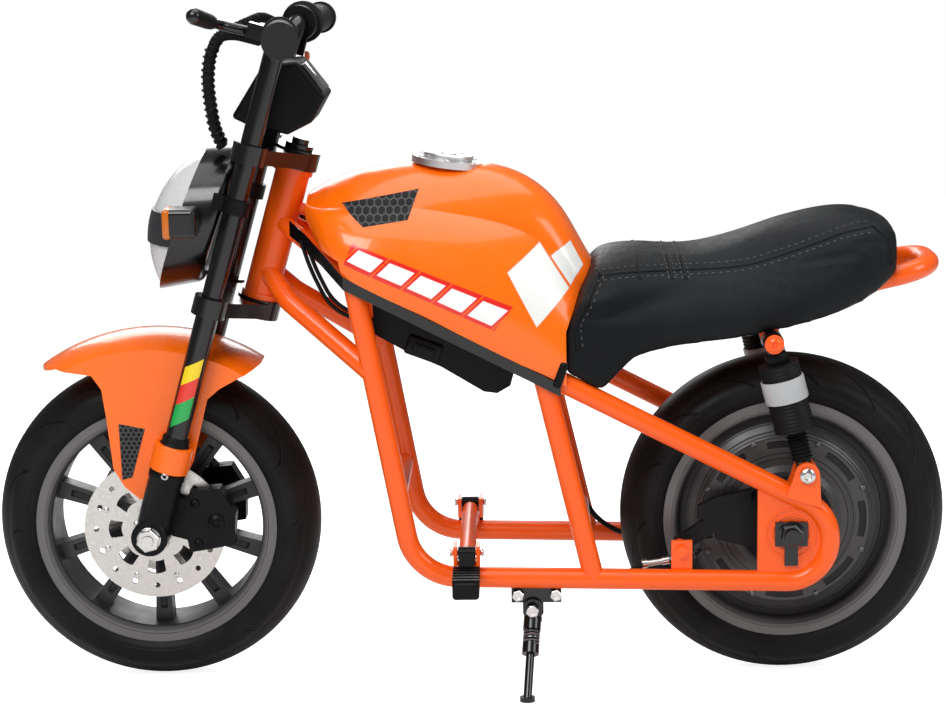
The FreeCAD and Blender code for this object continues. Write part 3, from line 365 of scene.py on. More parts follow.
STRIPE = [(113, 486), (119, 472), (-30, 403), (-46, 419)]
STICKERS = [[(-44.8, 456.8), (-78.3, 482.2), (-108, 436), (-74, 401)],
            [(-90, 468), (-120, 486), (-128, 460), (-110, 438)]]
TANK_VENT = [(126.6, 525.8), (46.2, 539.0), (57.0, 510.4), (102.6, 504.9)]
STRIPE_EDGE = [(113.5, 490), (122.5, 468.5), (-30.5, 398.5), (-50, 423)]
STRIPE_STEP, SLANT_X, SLANT_Z = 34.0, 0.733, 0.816
SIDE_FROM_Y = 40
FILM_RED, FILM_WHITE = (0.75, 0.02, 0.015), (0.86, 0.86, 0.85)
STICKER_EDGE, STICKER_PAPER = (0.72, 0.20, 0.10), (0.80, 0.80, 0.78)
FENDER_VENT = [(370.3, 292.9), (342.4, 287.1), (358.2, 234.2), (369.0, 231.6)]


def body_finish(name, vent, cell, films):
    finish = sprayed(name, ORANGE_BODY, 0.27, 0.4, 160.0, 0.0003)
    x, y, z = finish.drawn_in(UPRIGHT)
    colour = drifting(finish, ORANGE_BODY)
    side = y.size() > SIDE_FROM_Y
    if films:
        near = y > SIDE_FROM_Y
        along = x * SLANT_X + z * SLANT_Z
        slot = along.part(STRIPE_STEP / 2)
        edge = inside(x, z, STRIPE_EDGE) * side * (slot > 0.7)
        middle = inside(x, z, STRIPE) * side * (slot > 3.4)
        colour = finish.mix(edge, colour, FILM_RED)
        colour = finish.mix(middle, colour, FILM_WHITE)
        for corners in STICKERS:
            colour = finish.mix(inside(x, z, grown(corners, 1.2)) * near, colour, STICKER_EDGE)
            colour = finish.mix(inside(x, z, corners) * near, colour, STICKER_PAPER)
    surround = inside(x, z, grown(vent, 2.0)) * side
    hole = inside(x, z, vent) * side
    walls = honeycomb(x, z, cell, 1.3)
    # Painted shade: the vent's cells are near black, as the shade inside the holes, and the walls are
    # lighter, as lit edges.
    dark = finish.mix(walls, (0.003, 0.003, 0.003), (0.075, 0.075, 0.08))
    finish.set("Coat Weight", hole.ramp(0, 1, 0.4, 0.0))
    finish.set("Base Color", finish.mix(hole, colour, dark))
    finish.set("Roughness", (hole * 0.4 + finish.noise(60.0).ramp(NOISE_LOW, NOISE_HIGH, 0.22, 0.32)).held())
    finish.bump(walls * hole * 0.6 - surround, 1.0, 0.0022)
    return finish


tank_paint = body_finish("orange_tank_paint", TANK_VENT, 8.0, True)
fender_paint = body_finish("orange_fender_paint", FENDER_VENT, 5.5, False)

# %% [markdown]
# Black parts differ mostly in how they shine. Moulded housings have a fine even grain, painted
# steel is smooth and wet-looking, and rubber is grey-black and dull with a dusting of bloom.

# %% Black finishes
def moulded(name, colour, roughness, grain_scale, grain_depth):
    finish = Finish(name, colour, roughness, specular_ior_level=0.14)
    grain = finish.cells(grain_scale)
    finish.uneven(30.0, roughness - 0.06, roughness + 0.08)
    finish.bump(grain, 0.35, grain_depth)
    return finish


plastic = moulded("black_moulded_plastic", (0.004, 0.004, 0.0045), 0.36, 1400.0, 0.0002)
soft_plastic = moulded("black_soft_plastic", (0.006, 0.006, 0.0065), 0.50, 900.0, 0.0003)
hub_plastic = moulded("hub_plate_plastic", (0.009, 0.009, 0.010), 0.44, 1100.0, 0.0002)


WET_BLACK = (0.003, 0.003, 0.0035)


def wet_black(name):
    finish = Finish(name, WET_BLACK, 0.20, coat_weight=0.3, coat_roughness=0.06, specular_ior_level=0.4)
    finish.uneven(40.0, 0.18, 0.28)
    finish.bump(finish.noise(300.0, 1.0), 0.12, 0.0003)
    return finish


black_paint = wet_black("black_tube_paint")

# %% [markdown]
# The left fork tube carries a short film in three colours, cut on a slant. It is placed along the
# fork's own axis, and only on the side that faces out.

# %% Fork film
FILM = [(-176.4, -156, (0.85, 0.62, 0.01)), (-198, -176.4, (0.72, 0.035, 0.02)),
        (-222.7, -198, (0.01, 0.36, 0.07))]
FILM_FROM_Y, FILM_HALF, FILM_SLANT = 78, 8.5, 0.8
fork_paint = wet_black("black_fork_paint")
ahead, left, up_axis = fork_paint.drawn_in(FORK)
on_film = (left > FILM_FROM_Y) * ((ahead - FORK_D).size() < FILM_HALF)
slant = up_axis + (ahead - FORK_D) * FILM_SLANT
film_colour = WET_BLACK
for low, high, colour in FILM:
    film_colour = fork_paint.mix(on_film * (slant > low) * (slant < high), film_colour, colour)
fork_paint.set("Base Color", film_colour)

# %% [markdown]
# Both wheels are cast. Each front spoke has a long pocket with a round end, and the rear motor's
# face has eight curved windows between raised rings. All of them repeat round the axle, so they
# are drawn in the same polar way: how far round from the nearest spoke, and how far out. A
# whole number of steps is added so that the angle stays above zero. The pockets and windows are
# painted dark, as the shade inside them, and sunk by a bump.

# %% Cast wheels
LIP_GREY = (0.135, 0.130, 0.130)
LIP_FROM, LIP_TO = 114.5, 116.0
WHOLE_STEPS = 40


def cast_rim(name, colour, axle_x, repeats, dark, cuts, ridges):
    finish = Finish(name, colour, 0.38, metallic=0.35)
    radius, angle = finish.about_axle(axle_x)
    turn = angle * (repeats / math.tau) + (repeats / 4 + WHOLE_STEPS)
    aside = turn.part(0.5) * (math.tau / repeats)
    cut = cuts(radius, aside)
    raised = cut * -1
    for at, half in ridges:
        raised = raised + (radius - at).size().ramp(half, half + 0.8, 0.35, 0.0)
    lip = radius.ramp(LIP_FROM, LIP_TO)
    # Painted shade: the pockets and windows are darkened, as the shade inside them.
    finish.set("Base Color", finish.mix(cut, finish.mix(lip, colour, LIP_GREY), dark))
    finish.uneven(45.0, 0.34, 0.48)
    finish.bump(raised + finish.noise(900.0, 1.0) * 0.02, 1.0, 0.003)
    return finish


def spoke_pocket(radius, aside):
    return (radius * aside).ramp(2.8, 3.6, 1.0, 0.0) * radius.ramp(44, 47) * radius.ramp(98, 101, 1.0, 0.0)


def motor_window(radius, aside):
    return aside.ramp(0.225, 0.24, 1.0, 0.0) * (radius - 83).size().ramp(3.0, 3.8, 1.0, 0.0)


front_rim_paint = cast_rim("graphite_front_rim", (0.042, 0.041, 0.042), FRONT_X, 10, (0.012, 0.012, 0.012),
                           spoke_pocket, [(120, 0.6)])
rear_rim_paint = cast_rim("graphite_rear_rim", (0.060, 0.058, 0.058), REAR_X, 8, (0.006, 0.006, 0.006),
                          motor_window, [(69, 1.2), (74, 0.5), (92, 1.0), (104, 0.8), (120, 0.6)])

# %% [markdown]
# The tyres are smooth road tyres with thin grooves that sweep over each shoulder. In polar
# coordinates about the axle a groove is a line where the angle and the radius add up to a whole
# number, so one expression draws them all: as painted shade, darker in the colour, and in depth.

# %% Tyre rubber with its grooves
GROOVES, GROOVE_FROM, GROOVE_TO, GROOVE_SWEEP = 14, 147.0, 173.5, 0.95


def tread_rubber(name, axle_x):
    finish = Finish(name, (0.009, 0.0085, 0.0085), 0.5, specular_ior_level=0.12)
    radius, angle = finish.about_axle(axle_x)
    reach = radius.ramp(GROOVE_FROM, GROOVE_TO)
    phase = angle * (GROOVES / math.tau) + reach * reach * GROOVE_SWEEP + WHOLE_STEPS
    groove = phase.part(0.5).ramp(0.012, 0.034, 1.0, 0.0)
    band = radius.ramp(GROOVE_FROM, GROOVE_FROM + 4) * radius.ramp(GROOVE_TO - 2, GROOVE_TO, 1.0, 0.0)
    groove = groove * band
    ring = (radius - 139.5).size().ramp(0.4, 1.1, 1.0, 0.0)
    bloom = finish.noise(14.0, 4.0)
    colour = finish.mix(bloom.ramp(0.4, 0.75), (0.007, 0.0066, 0.0066), (0.013, 0.0125, 0.0125))
    # Painted shade: the grooves are darkened, as the shade down in them.
    finish.set("Base Color", finish.mix(groove, colour, (0.003, 0.003, 0.003)))
    finish.set("Roughness", bloom.ramp(NOISE_LOW, NOISE_HIGH, 0.42, 0.56))
    finish.bump(finish.noise(700.0, 2.0) * 0.06 - groove + ring * 0.25, 1.0, 0.0014)
    return finish


front_rubber = tread_rubber("front_tyre_rubber", FRONT_X)
rear_rubber = tread_rubber("rear_tyre_rubber", REAR_X)

# %% Grip rubber and cable sheath
GRIP_RING_STEP = 3.2
grip_rubber = Finish("grip_rubber", (0.008, 0.0085, 0.0095), 0.58, specular_ior_level=0.35)
_, across, _ = grip_rubber.drawn_in(FORK)
rings = (across * (math.tau / GRIP_RING_STEP)).sine()
grip_rubber.uneven(50.0, 0.5, 0.66)
grip_rubber.bump(rings, 0.5, 0.0005)
cable_sheath = moulded("cable_sheath", (0.005, 0.005, 0.0055), 0.5, 900.0, 0.0002)

# %% [markdown]
# Bright metal is judged by its reflections. Turned steel has fine rings or scratches that spread
# the highlight one way, and zinc-plated bolts are a little milky.

# %% Bright metals
steel = Finish("brushed_disc_steel", (0.62, 0.60, 0.57), 0.30, metallic=1.0)
scratch = steel.noise(260.0, 5.0)
steel.set("Roughness", scratch.ramp(NOISE_LOW, NOISE_HIGH, 0.22, 0.42))
steel.bump(scratch, 0.2, 0.0002)

zinc = Finish("zinc_plated_steel", (0.66, 0.65, 0.64), 0.28, metallic=1.0)
zinc.uneven(120.0, 0.2, 0.4)

cap_metal = Finish("satin_cap_metal", (0.74, 0.73, 0.73), 0.34, metallic=0.9)
cap_metal.bump(cap_metal.noise(400.0, 2.0), 0.15, 0.0002)

# %% Lens plastics
lens_plastic = Finish("frosted_lens", (0.80, 0.80, 0.81), 0.22, transmission_weight=0.25, ior=1.46)
lens_plastic.uneven(80.0, 0.16, 0.3)

amber_plastic = Finish("amber_lens", (0.70, 0.17, 0.012), 0.16, transmission_weight=0.2, ior=1.49)
amber_plastic.uneven(90.0, 0.12, 0.22)
band_plastic = moulded("dark_band_plastic", (0.030, 0.030, 0.033), 0.3, 1500.0, 0.0001)

# %% Seat cover
leather = Finish("seat_leatherette", (0.007, 0.008, 0.0095), 0.38, specular_ior_level=0.13)
grain_warp = leather.noise(140.0, 2.0)
grain = leather.cells(620.0, "DISTANCE_TO_EDGE")
worn = leather.noise(11.0, 3.0).ramp(0.35, 0.7)
leather.set("Base Color", leather.mix(worn, (0.0045, 0.0055, 0.0065), (0.009, 0.0105, 0.0125)))
leather.set("Roughness", grain_warp.ramp(NOISE_LOW, NOISE_HIGH, 0.34, 0.46))
leather.bump(grain.ramp(0.0, 0.22) + grain_warp * 0.5, 0.35, 0.0005)

# %% Finishes on the solid pieces
SOLID_FINISHES = {
    tube_paint: "head_tube frame_loop_left frame_loop_right rear_pillars down_tubes top_tubes cross_tubes "
                "seat_subframe shock_top_rod shock_clevises axle_plates rear_brake_tab peg_bar",
    tank_paint: "tank",
    fender_paint: "front_fender",
    plastic: "battery_box fork_boots headlight_brackets dash_display throttle_switch brake_calipers "
             "peg_left peg_right",
    band_plastic: "headlight_band",
    hub_plastic: "rear_brake_plate",
    black_paint: "upper_clamp lower_clamp handlebars axle_caps lever_perch brake_lever stand_bracket "
                 "stand_leg shocks steering_stem headlight_housing tank_trim turn_signals",
    fork_paint: "fork_tubes",
    front_rim_paint: "front_rim",
    rear_rim_paint: "rear_rim_motor",
    steel: "brake_discs",
    zinc: "front_axle rear_axle",
    cap_metal: "tank_cap",
    front_rubber: "front_tyre",
    rear_rubber: "rear_tyre",
    grip_rubber: "grips",
    cable_sheath: "brake_hose",
    lens_plastic: "headlight_lens",
    leather: "seat",
}
for finish, names in SOLID_FINISHES.items():
    for name in names.split():
        for slot in nodes[name].material_slots:
            slot.material = finish.material

# %% Finishes of the added pieces
pale_band = Finish("pale_label_film", (0.42, 0.43, 0.44), 0.35)
pale_band.uneven(70.0, 0.28, 0.42)
thread = Finish("black_thread", (0.075, 0.078, 0.082), 0.7)
thread.uneven(900.0, 0.6, 0.8)
glass = Finish("display_glass", (0.004, 0.005, 0.007), 0.06, coat_weight=0.8, coat_roughness=0.03)
glass.uneven(25.0, 0.05, 0.1)
red_plastic = Finish("switch_red", (0.60, 0.10, 0.03), 0.38)
red_plastic.uneven(200.0, 0.32, 0.45)
spring_steel = Finish("dark_spring_steel", (0.16, 0.16, 0.17), 0.34, metallic=0.9)
spring_steel.uneven(300.0, 0.28, 0.42)

# %% [markdown]
# Small fittings are made by three tools. `turned` spins a profile round a line, which gives bolts,
# nuts (with six sides), caps and sleeves. `block` is a box with rounded edges. `strand` draws
# round wires along routes, as curves that become meshes, and `coiled` winds a route into a helix.

# %% Tools for small shapes
def finished(name, mesh, finish, body, place):
    mesh.transform(place)
    mesh.materials.clear()
    mesh.materials.append(finish.material)
    mesh.shade_smooth()
    mesh.set_sharp_from_angle(angle=math.radians(38))
    obj = bpy.data.objects.new(name, mesh)
    bpy.context.collection.objects.link(obj)
    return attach(obj, body)


def made(name, bm, finish, body, place=UPRIGHT):
    bmesh.ops.remove_doubles(bm, verts=bm.verts, dist=0.01)
    bmesh.ops.recalc_face_normals(bm, faces=bm.faces)
    mesh = bpy.data.meshes.new(name)
    bm.to_mesh(mesh)
    bm.free()
    return finished(name, mesh, finish, body, place)


def turned(bm, base, tip, profile, sides=24):
    """A profile of (along, radius), spun about the line from base towards tip."""
    base, axis = Vector(base), (Vector(tip) - Vector(base)).normalized()
    side = axis.orthogonal().normalized()
    verts = [bm.verts.new(base + axis * along + side * radius) for along, radius in profile]
    edges = [bm.edges.new(ends) for ends in zip(verts, verts[1:])]
    bmesh.ops.spin(bm, geom=verts + edges, cent=base, axis=axis, angle=math.tau, steps=sides, use_merge=True)


def block(bm, centre, size, bevel, turn=0.0):
    """A box with rounded edges, turned about y by so many degrees."""
    verts = bmesh.ops.create_cube(bm, size=1)["verts"]
    place = Matrix.Translation(centre) @ Matrix.Rotation(math.radians(turn), 4, "Y")
    place = place @ Matrix.Diagonal((*size, 1))
    bmesh.ops.transform(bm, matrix=place, verts=verts)
    edges = list({edge for vert in verts for edge in vert.link_edges})
    bmesh.ops.bevel(bm, geom=edges, offset=bevel, segments=3, profile=0.5, affect="EDGES", material=-1)


def rounded(route, share=0.45, parts=8):
    """A route whose corners are eased over a share of their shorter run."""
    route = [Vector(point) for point in route]
    curve = [route[0]]
    for before, corner, after in zip(route, route[1:], route[2:]):
        run = share * min((before - corner).length, (after - corner).length)
        start = corner + (before - corner).normalized() * run
        end = corner + (after - corner).normalized() * run
        for n in range(parts + 1):
            t = n / parts
            curve.append(start.lerp(corner, t).lerp(corner.lerp(end, t), t))
    return curve + [route[-1]]


def walked(route, step):
    """Points at even steps along a route."""
    route = [Vector(point) for point in route]
    places, left_over = [route[0]], 0.0
    for near, far in zip(route, route[1:]):
        run = (far - near).length
        at = step - left_over
        while at <= run:
            places.append(near.lerp(far, at / run))
            at += step
        left_over = run - (at - step)
    return places


def coiled(route, radius, pitch, per_turn=10):
    """A helix round a route."""
    places = walked(route, pitch / per_turn)
    curve, side = [], None
    for n, place in enumerate(places):
        along = (places[min(n + 1, len(places) - 1)] - places[max(n - 1, 0)]).normalized()
        side = (side - along * side.dot(along)).normalized() if side else along.orthogonal().normalized()
        angle = math.tau * n / per_turn
        curve.append(place + (side * math.cos(angle) + along.cross(side) * math.sin(angle)) * radius)
    return curve


def strand(name, routes, radius, finish, body, place=UPRIGHT, fine=2):
    curve = bpy.data.curves.new(name, "CURVE")
    curve.dimensions = "3D"
    curve.bevel_depth, curve.bevel_resolution, curve.use_fill_caps = radius, fine, True
    for route in routes:
        spline = curve.splines.new("POLY")
        spline.points.add(len(route) - 1)
        spline.points.foreach_set("co", [value for point in route for value in (*point, 1)])
    draft = bpy.data.objects.new(name + "_draft", curve)
    mesh = bpy.data.meshes.new_from_object(draft)
    bpy.data.objects.remove(draft)
    return finished(name, mesh, finish, body, place)


# %% [markdown]
# Bolts and nuts come from a table: what kind, where it starts, which way it points, its radius and
# its height. A row that lies off the middle plane is repeated on the other side of the bike.

# %% Bolts, nuts and washers
PROFILES = {
    "nut": (6, [(0, 0), (0, 1), (0.86, 1), (1, 0.9), (1, 0.55), (0.8, 0.5), (0.8, 0)]),
    "button": (20, [(0, 0), (0, 1), (0.45, 1), (0.8, 0.84), (1, 0.5), (0.5, 0.42), (0.5, 0)]),
    "washer": (28, [(0, 0), (0, 1), (0.7, 1), (1, 0.96), (1, 0)]),
}


def fittings(name, finish, body, rows, both=True):
    bm = bmesh.new()
    for kind, (x, y, z), (dx, dy, dz), radius, height in rows:
        sides, shape = PROFILES[kind]
        profile = [(along * height, out * radius) for along, out in shape]
        for side in ((1, -1) if both else (1,)):
            turned(bm, (x, y * side, z), (x + dx, y * side + dy * side, z + dz), profile, sides)
    return made(name, bm, finish, body)


OUT = (0, 1, 0)
fittings("front_axle_nuts", zinc, "fork", [
    ("washer", (FRONT_X, 90, TYRE_R), OUT, 12.6, 1.2),
    ("nut", (FRONT_X, 91.0, TYRE_R), OUT, 12.8, 8.0)])
fittings("fork_leg_bolts", zinc, "fork", [("button", (318.2, 89.6, 243.3), OUT, 4.2, 2.6)])
fittings("caliper_caps", plastic, "fork", [
    ("button", (270.0, 61.5, 185.0), OUT, 9.0, 5.0),
    ("button", (292.0, 61.5, 206.0), OUT, 5.0, 4.0),
    ("button", (290.0, 61.5, 162.0), OUT, 5.0, 4.0)])
fittings("rear_axle_nuts", black_paint, "frame", [
    ("washer", (REAR_X, 98.8, TYRE_R), OUT, 14.5, 1.2),
    ("nut", (REAR_X, 99.8, TYRE_R), OUT, 12.3, 7.0),
    ("washer", (REAR_X, 100.0, TYRE_R), OUT, 8.4, 11.2)])
fittings("shock_foot_bolts", zinc, "frame", [("button", (SHOCK_FOOT_X, 107.0, SHOCK_FOOT_Z), OUT, 8.0, 4.0)])
fittings("shock_top_bolts", tube_paint, "frame", [
    ("washer", (SHOCK_TOP_X, 110.5, SHOCK_TOP_Z), OUT, 10.0, 2.0),
    ("button", (SHOCK_TOP_X, 112.0, SHOCK_TOP_Z), OUT, 7.5, 4.0)])
fittings("peg_pins", zinc, "frame", [
    ("button", (18.0, 102, 160), (1, 0, 0), 4.4, 2.2),
    ("button", (-13.6, 102, 160), (-1, 0, 0), 4.4, 2.2)])
fittings("stand_bolts", zinc, "frame", [
    ("nut", (-91, 96.5, 111), OUT, 6.4, 3.6), ("nut", (-51, 96.5, 111), OUT, 6.4, 3.6),
    ("nut", (-66, 103.5, 96), OUT, 7.0, 3.4)], both=False)
fittings("throttle_button", red_plastic, "fork", [
    ("button", (176.5, -120, 666), (-1, 0, 0), 5.5, 5.0)], both=False)


def round_axle(axle_x, y, circle, count, start=0.0):
    """Places on a circle about a wheel's axle."""
    turns = [math.radians(start + n * 360 / count) for n in range(count)]
    return [(axle_x + circle * math.cos(t), y, TYRE_R + circle * math.sin(t)) for t in turns]


rivets = [("button", place, OUT, 3.2, 1.6) for place in round_axle(FRONT_X, 48.3, 56, 8, 22.5)]
rivets += [("button", place, OUT, 3.6, 2.6) for place in round_axle(FRONT_X, 51.3, 20, 5, 18)]
fittings("disc_bolts", zinc, "front_wheel", rivets)
hub_bolts = [("button", place, OUT, 3.0, 2.0) for place in round_axle(REAR_X, 39.8, 89, 8, 22.5)]
fittings("motor_bolts", spring_steel, "rear_wheel", hub_bolts)
print("bolts done")

# %% [markdown]
# The filler cap stands on a flange with six bolts. Its lid has a stepped rim and a small cover over
# the lock.

# %% Filler cap
CAP_AXIS = Vector((-1, 0, 7)).normalized()
CAP_ACROSS = Vector((7, 0, 1)).normalized()
cap_middle = Vector((17, 0, 564))
LID = [(0, 0), (0, 26.6), (2.6, 26.6), (3.6, 25.4), (3.6, 22.0), (2.8, 21.2), (2.8, 9.0), (4.0, 8.2),
       (4.0, 0)]
bm = bmesh.new()
turned(bm, cap_middle + CAP_AXIS * 2, cap_middle + CAP_AXIS * 9, LID, 48)
for n in range(6):
    angle = math.radians(30 + n * 60)
    spot_on_flange = cap_middle + (CAP_ACROSS * math.cos(angle) + Vector((0, 1, 0)) * math.sin(angle)) * 32
    turned(bm, spot_on_flange - CAP_AXIS * 0.5, spot_on_flange + CAP_AXIS,
           [(0, 0), (0, 2.8), (1.4, 2.8), (2.1, 2.0), (2.1, 1.2), (1.2, 1.0), (1.2, 0)], 12)
made("cap_lid", bm, cap_metal, "frame")

# %% [markdown]
# The fork's lower ends are round legs with an eye across the axle, below orange sockets. The
# solids have their outline from the side, and these give them their round section.

# %% Fork legs and sockets
BOOT_TOP, SOCKET_TOP = -278.0, -249.0
boots, sockets, seals = bmesh.new(), bmesh.new(), bmesh.new()
for side in (1, -1):
    y = LEG_Y * side
    turned(boots, (FORK_D, y, BOOT_TOP), (FORK_D, y, AXLE_S),
           [(0, 0), (0, 18.4), (2, 19.4), (8, 19.4), (10, 18.2), (60, 18.2), (74, 15), (78, 0)], 32)
    turned(boots, (FORK_D, 59 * side, AXLE_S), (FORK_D, 90 * side, AXLE_S),
           [(0, 0), (0, 18.0), (1.5, 19.4), (29, 19.4), (31, 17.6), (31, 0)], 32)
    turned(sockets, (FORK_D, y, SOCKET_TOP), (FORK_D, y, BOOT_TOP),
           [(0.2, 12.2), (0, 19.6), (1.2, 20.9), (27.6, 20.9), (28.8, 19.6), (28.8, 12.2)], 32)
    turned(seals, (FORK_D, y, SOCKET_TOP + 9), (FORK_D, y, SOCKET_TOP),
           [(0, 11.5), (0, 13.6), (2, 14.6), (7, 14.6), (9.5, 16.4), (9.5, 11.5)], 32)
round_boots = made("round_fork_legs", boots, plastic, "fork", FORK)
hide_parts("fork_boots")
made("fender_sockets", sockets, fender_paint, "fork", FORK)
made("fork_seals", seals, soft_plastic, "fork", FORK)

# %% [markdown]
# Each shock absorber has a ribbed sleeve above and a thinner one below, with a collar at the top
# and a pale band round the middle.

# %% Shock absorber sleeves
ribs = [(23.5, 8)] + [(t, 20.3 if t % 4 else 21.3) for t in range(24, 42, 2)] + [(42, 22.1), (62, 22.1)]
ribs += [(t, 20.3 if t % 4 else 21.3) for t in range(62, 97, 2)] + [(97, 8)]
lower_ribs = [(97, 7.5)] + [(t, 8.6 if t % 4 else 11.0) for t in range(98, 132, 2)] + [(131, 7.5)]
collar = [(13, 7.5), (13, 10.5), (15, 12.0), (22, 12.0), (24, 10.5), (24, 7.5)]
band = [(40, 20), (40, 22.3), (41, 22.7), (63, 22.7), (64, 22.3), (64, 20)]
sleeves, bands = bmesh.new(), bmesh.new()
for side in (1, -1):
    top_eye = (SHOCK_TOP_X, SHOCK_Y * side, SHOCK_TOP_Z)
    foot_eye = (SHOCK_FOOT_X, SHOCK_Y * side, SHOCK_FOOT_Z)
    for profile in (ribs, lower_ribs, collar):
        turned(sleeves, top_eye, foot_eye, profile, 32)
    turned(bands, top_eye, foot_eye, band, 32)
made("shock_sleeves", sleeves, soft_plastic, "frame")
made("shock_bands", bands, pale_band, "frame")

# %% [markdown]
# Two rings are pressed into each axle plate round the axle, and a spring is wound on the stand's
# leg between its collars.

# %% Plate rings and stand spring
rings_bm = bmesh.new()
for side in (1, -1):
    for radius in (19.5, 26.0):
        turned(rings_bm, (REAR_X, 94.6 * side, TYRE_R), (REAR_X, 99 * side, TYRE_R),
               [(0, radius - 1.6), (1.4, radius - 0.8), (1.4, radius + 0.8), (0, radius + 1.6)], 40)
made("axle_plate_rings", rings_bm, tube_paint, "frame")
leg_top, leg_foot = Vector((-66, 99, 84)), Vector((-59.6, 150, 14))
spring_run = [leg_top.lerp(leg_foot, 0.14), leg_top.lerp(leg_foot, 0.30)]
strand("stand_spring", [coiled(spring_run, 8.2, 3.2)], 1.2, spring_steel, "stand", fine=1)

# %% [markdown]
# The lamps beside the headlight have amber fronts, the display behind the bars is dark glass, and
# the battery's lid is held by a raised clip. The grips end in stepped caps, and the brake lever has
# a soft sleeve.

# %% Lamps, display glass, clips, grip ends and lever sleeve
bm = bmesh.new()
for side in (1, -1):
    block(bm, (300.0, 106 * side, 514.0), (9.5, 37.0, 31.0), 4.0)
made("amber_fronts", bm, amber_plastic, "fork")
bm = bmesh.new()
block(bm, (2.6, 0, 158.6), (36, 72, 2.4), 1.0, turn=-36.4)
made("display_window", bm, glass, "fork", FORK)
bm = bmesh.new()
for side in (1, -1):
    block(bm, (44.2, 66 * side, 371.5), (38, 9, 21), 2.5, turn=-21)
    block(bm, (44.2, 70 * side, 371.5), (24, 5, 9), 1.5, turn=-21)
    block(bm, (-98, 107 * side, 350), (9, 7, 28), 3.0, turn=-20)
made("battery_clips", bm, plastic, "frame")
GRIP_CAP = [(0, 0), (0, 15.9), (3.2, 15.9), (4.4, 14.6), (4.4, 11.0), (3.4, 10.2), (3.4, 4), (4.2, 3.4),
            (4.2, 0)]
bm = bmesh.new()
for side in (1, -1):
    corner, bar_end = Vector((FORK_D, LEG_Y * side, 199)), Vector((BAR_END_D, 226 * side, BAR_END_S))
    outward = (bar_end - corner).normalized()
    turned(bm, bar_end - outward, bar_end + outward * 9, GRIP_CAP, 32)
made("grip_ends", bm, soft_plastic, "fork", FORK)
LEVER_RUN = [(101.8, 127.6, 194.0), (115.8, 203.6, 202.0)]
sleeve_from = Vector(LEVER_RUN[0]).lerp(Vector(LEVER_RUN[1]), 0.22)
sleeve_to = Vector(LEVER_RUN[0]).lerp(Vector(LEVER_RUN[1]), 1.06)
bm = bmesh.new()
reach = (sleeve_to - sleeve_from).length
turned(bm, sleeve_from, sleeve_to, [(0, 5), (0, 6.4), (2, 7.2), (12, 7.8), (reach - 8, 8.2), (reach - 3, 7.4),
                                    (reach - 0.8, 5), (reach, 0)], 24)
made("lever_sleeve", bm, soft_plastic, "fork", FORK)

# %% [markdown]
# The brake hose is fine-ringed where it leaves the lever and has an open spiral wrap lower down.
# The throttle's lead crosses over in front of the bars, and the wires, the motor's lead and the
# rear brake cable follow the frame. Each runs between two fixed ends, so none hangs free.

# %% Hoses, wires and cables
HOSE = rounded([(200, 105, 697), (226, 92, 703), (243, 88, 702), (254, 82, 684), (259, 74, 656),
                (258, 66, 630), (256, 58, 606), (249, 50, 586)])
steps = walked(HOSE, 2.0)
split_at = int(len(steps) * 0.36)
strand("hose_rings", [coiled(steps[:split_at], 5.6, 2.6)], 0.9, cable_sheath, "fork", fine=1)
strand("hose_wrap", [coiled(steps[split_at:], 6.0, 7.0)], 1.5, cable_sheath, "fork", fine=1)
THROTTLE_LEAD = rounded([(186, -122, 699), (208, -112, 704), (216, -60, 713), (222, 0, 711), (246, 34, 701),
                         (260, 42, 680), (263, 42, 655), (262, 40, 628), (260, 38, 604), (252, 34, 582)])
strand("throttle_lead", [THROTTLE_LEAD], 3.8, cable_sheath, "fork")
strand("throttle_lead_wrap", [coiled(THROTTLE_LEAD, 4.4, 7.0)], 1.3, cable_sheath, "fork", fine=1)
WIRE = [(171, 52, 486), (161, 58, 456), (141, 60, 414), (97, 60, 396)]
wire_pair = [rounded(WIRE), rounded([(x - 4, y, z + 4) for x, y, z in WIRE])]
strand("battery_wires", wire_pair, 2.2, cable_sheath, "frame")
MOTOR_LEAD = rounded([(-124, -70, 172), (-141, -70, 147), (-168, -74, 129), (-250, -76, 131),
                      (-318, -76, 150), (-334, -74, 170)])
strand("motor_lead", [MOTOR_LEAD], 3.0, cable_sheath, "frame")
REAR_CABLE = rounded([(-96, 78.4, 127.5), (-160, 78.4, 126), (-184, 76, 138), (-212, 74, 141.5),
                      (-240, 68, 146), (-246, 64, 150)])
strand("rear_brake_cable", [REAR_CABLE], 2.5, cable_sheath, "frame")
spring_line = [(-240, 68, 146), (-212, 74, 141.5)]
strand("brake_return_spring", [coiled(spring_line, 4.6, 2.8)], 0.9, spring_steel, "frame", fine=1)
bm = bmesh.new()
turned(bm, (-212, 74, 141.5), (-184, 76, 138),
       [(0, 0), (0, 4.6), (8, 4.6), (8, 3.6), (24, 3.6), (24, 5), (29, 5), (29, 0)], 16)
made("brake_adjuster", bm, zinc, "frame")
print("cords done")

# %% [markdown]
# The seat is foam under a sewn cover. Its solid is remeshed into even faces, the cover is eased in
# a little, and a short cloth simulation with pressure from inside swells it again, so it crowns
# between its edges. Everything that touches the tank, the tubes or the base is held still.

# %% Padded seat
SEAT_VOXEL, SEAT_CAP, SEAT_FRAMES, EASING = 0.005, 0.005, 20, 6
COVER_REAR, COVER_FRONT, COVER_LOW, COVER_SIDE_Y = -428, -114, 398, 78
FACES_UP, FACES_OUT = 0.25, 0.5
back = UPRIGHT.inverted()
turn_back = back.to_3x3()


def applied(obj):
    """The object's mesh becomes what its modifiers show, and they go."""
    mesh = bpy.data.meshes.new_from_object(obj.evaluated_get(bpy.context.evaluated_depsgraph_get()))
    obj.modifiers.clear()
    obj.data = mesh


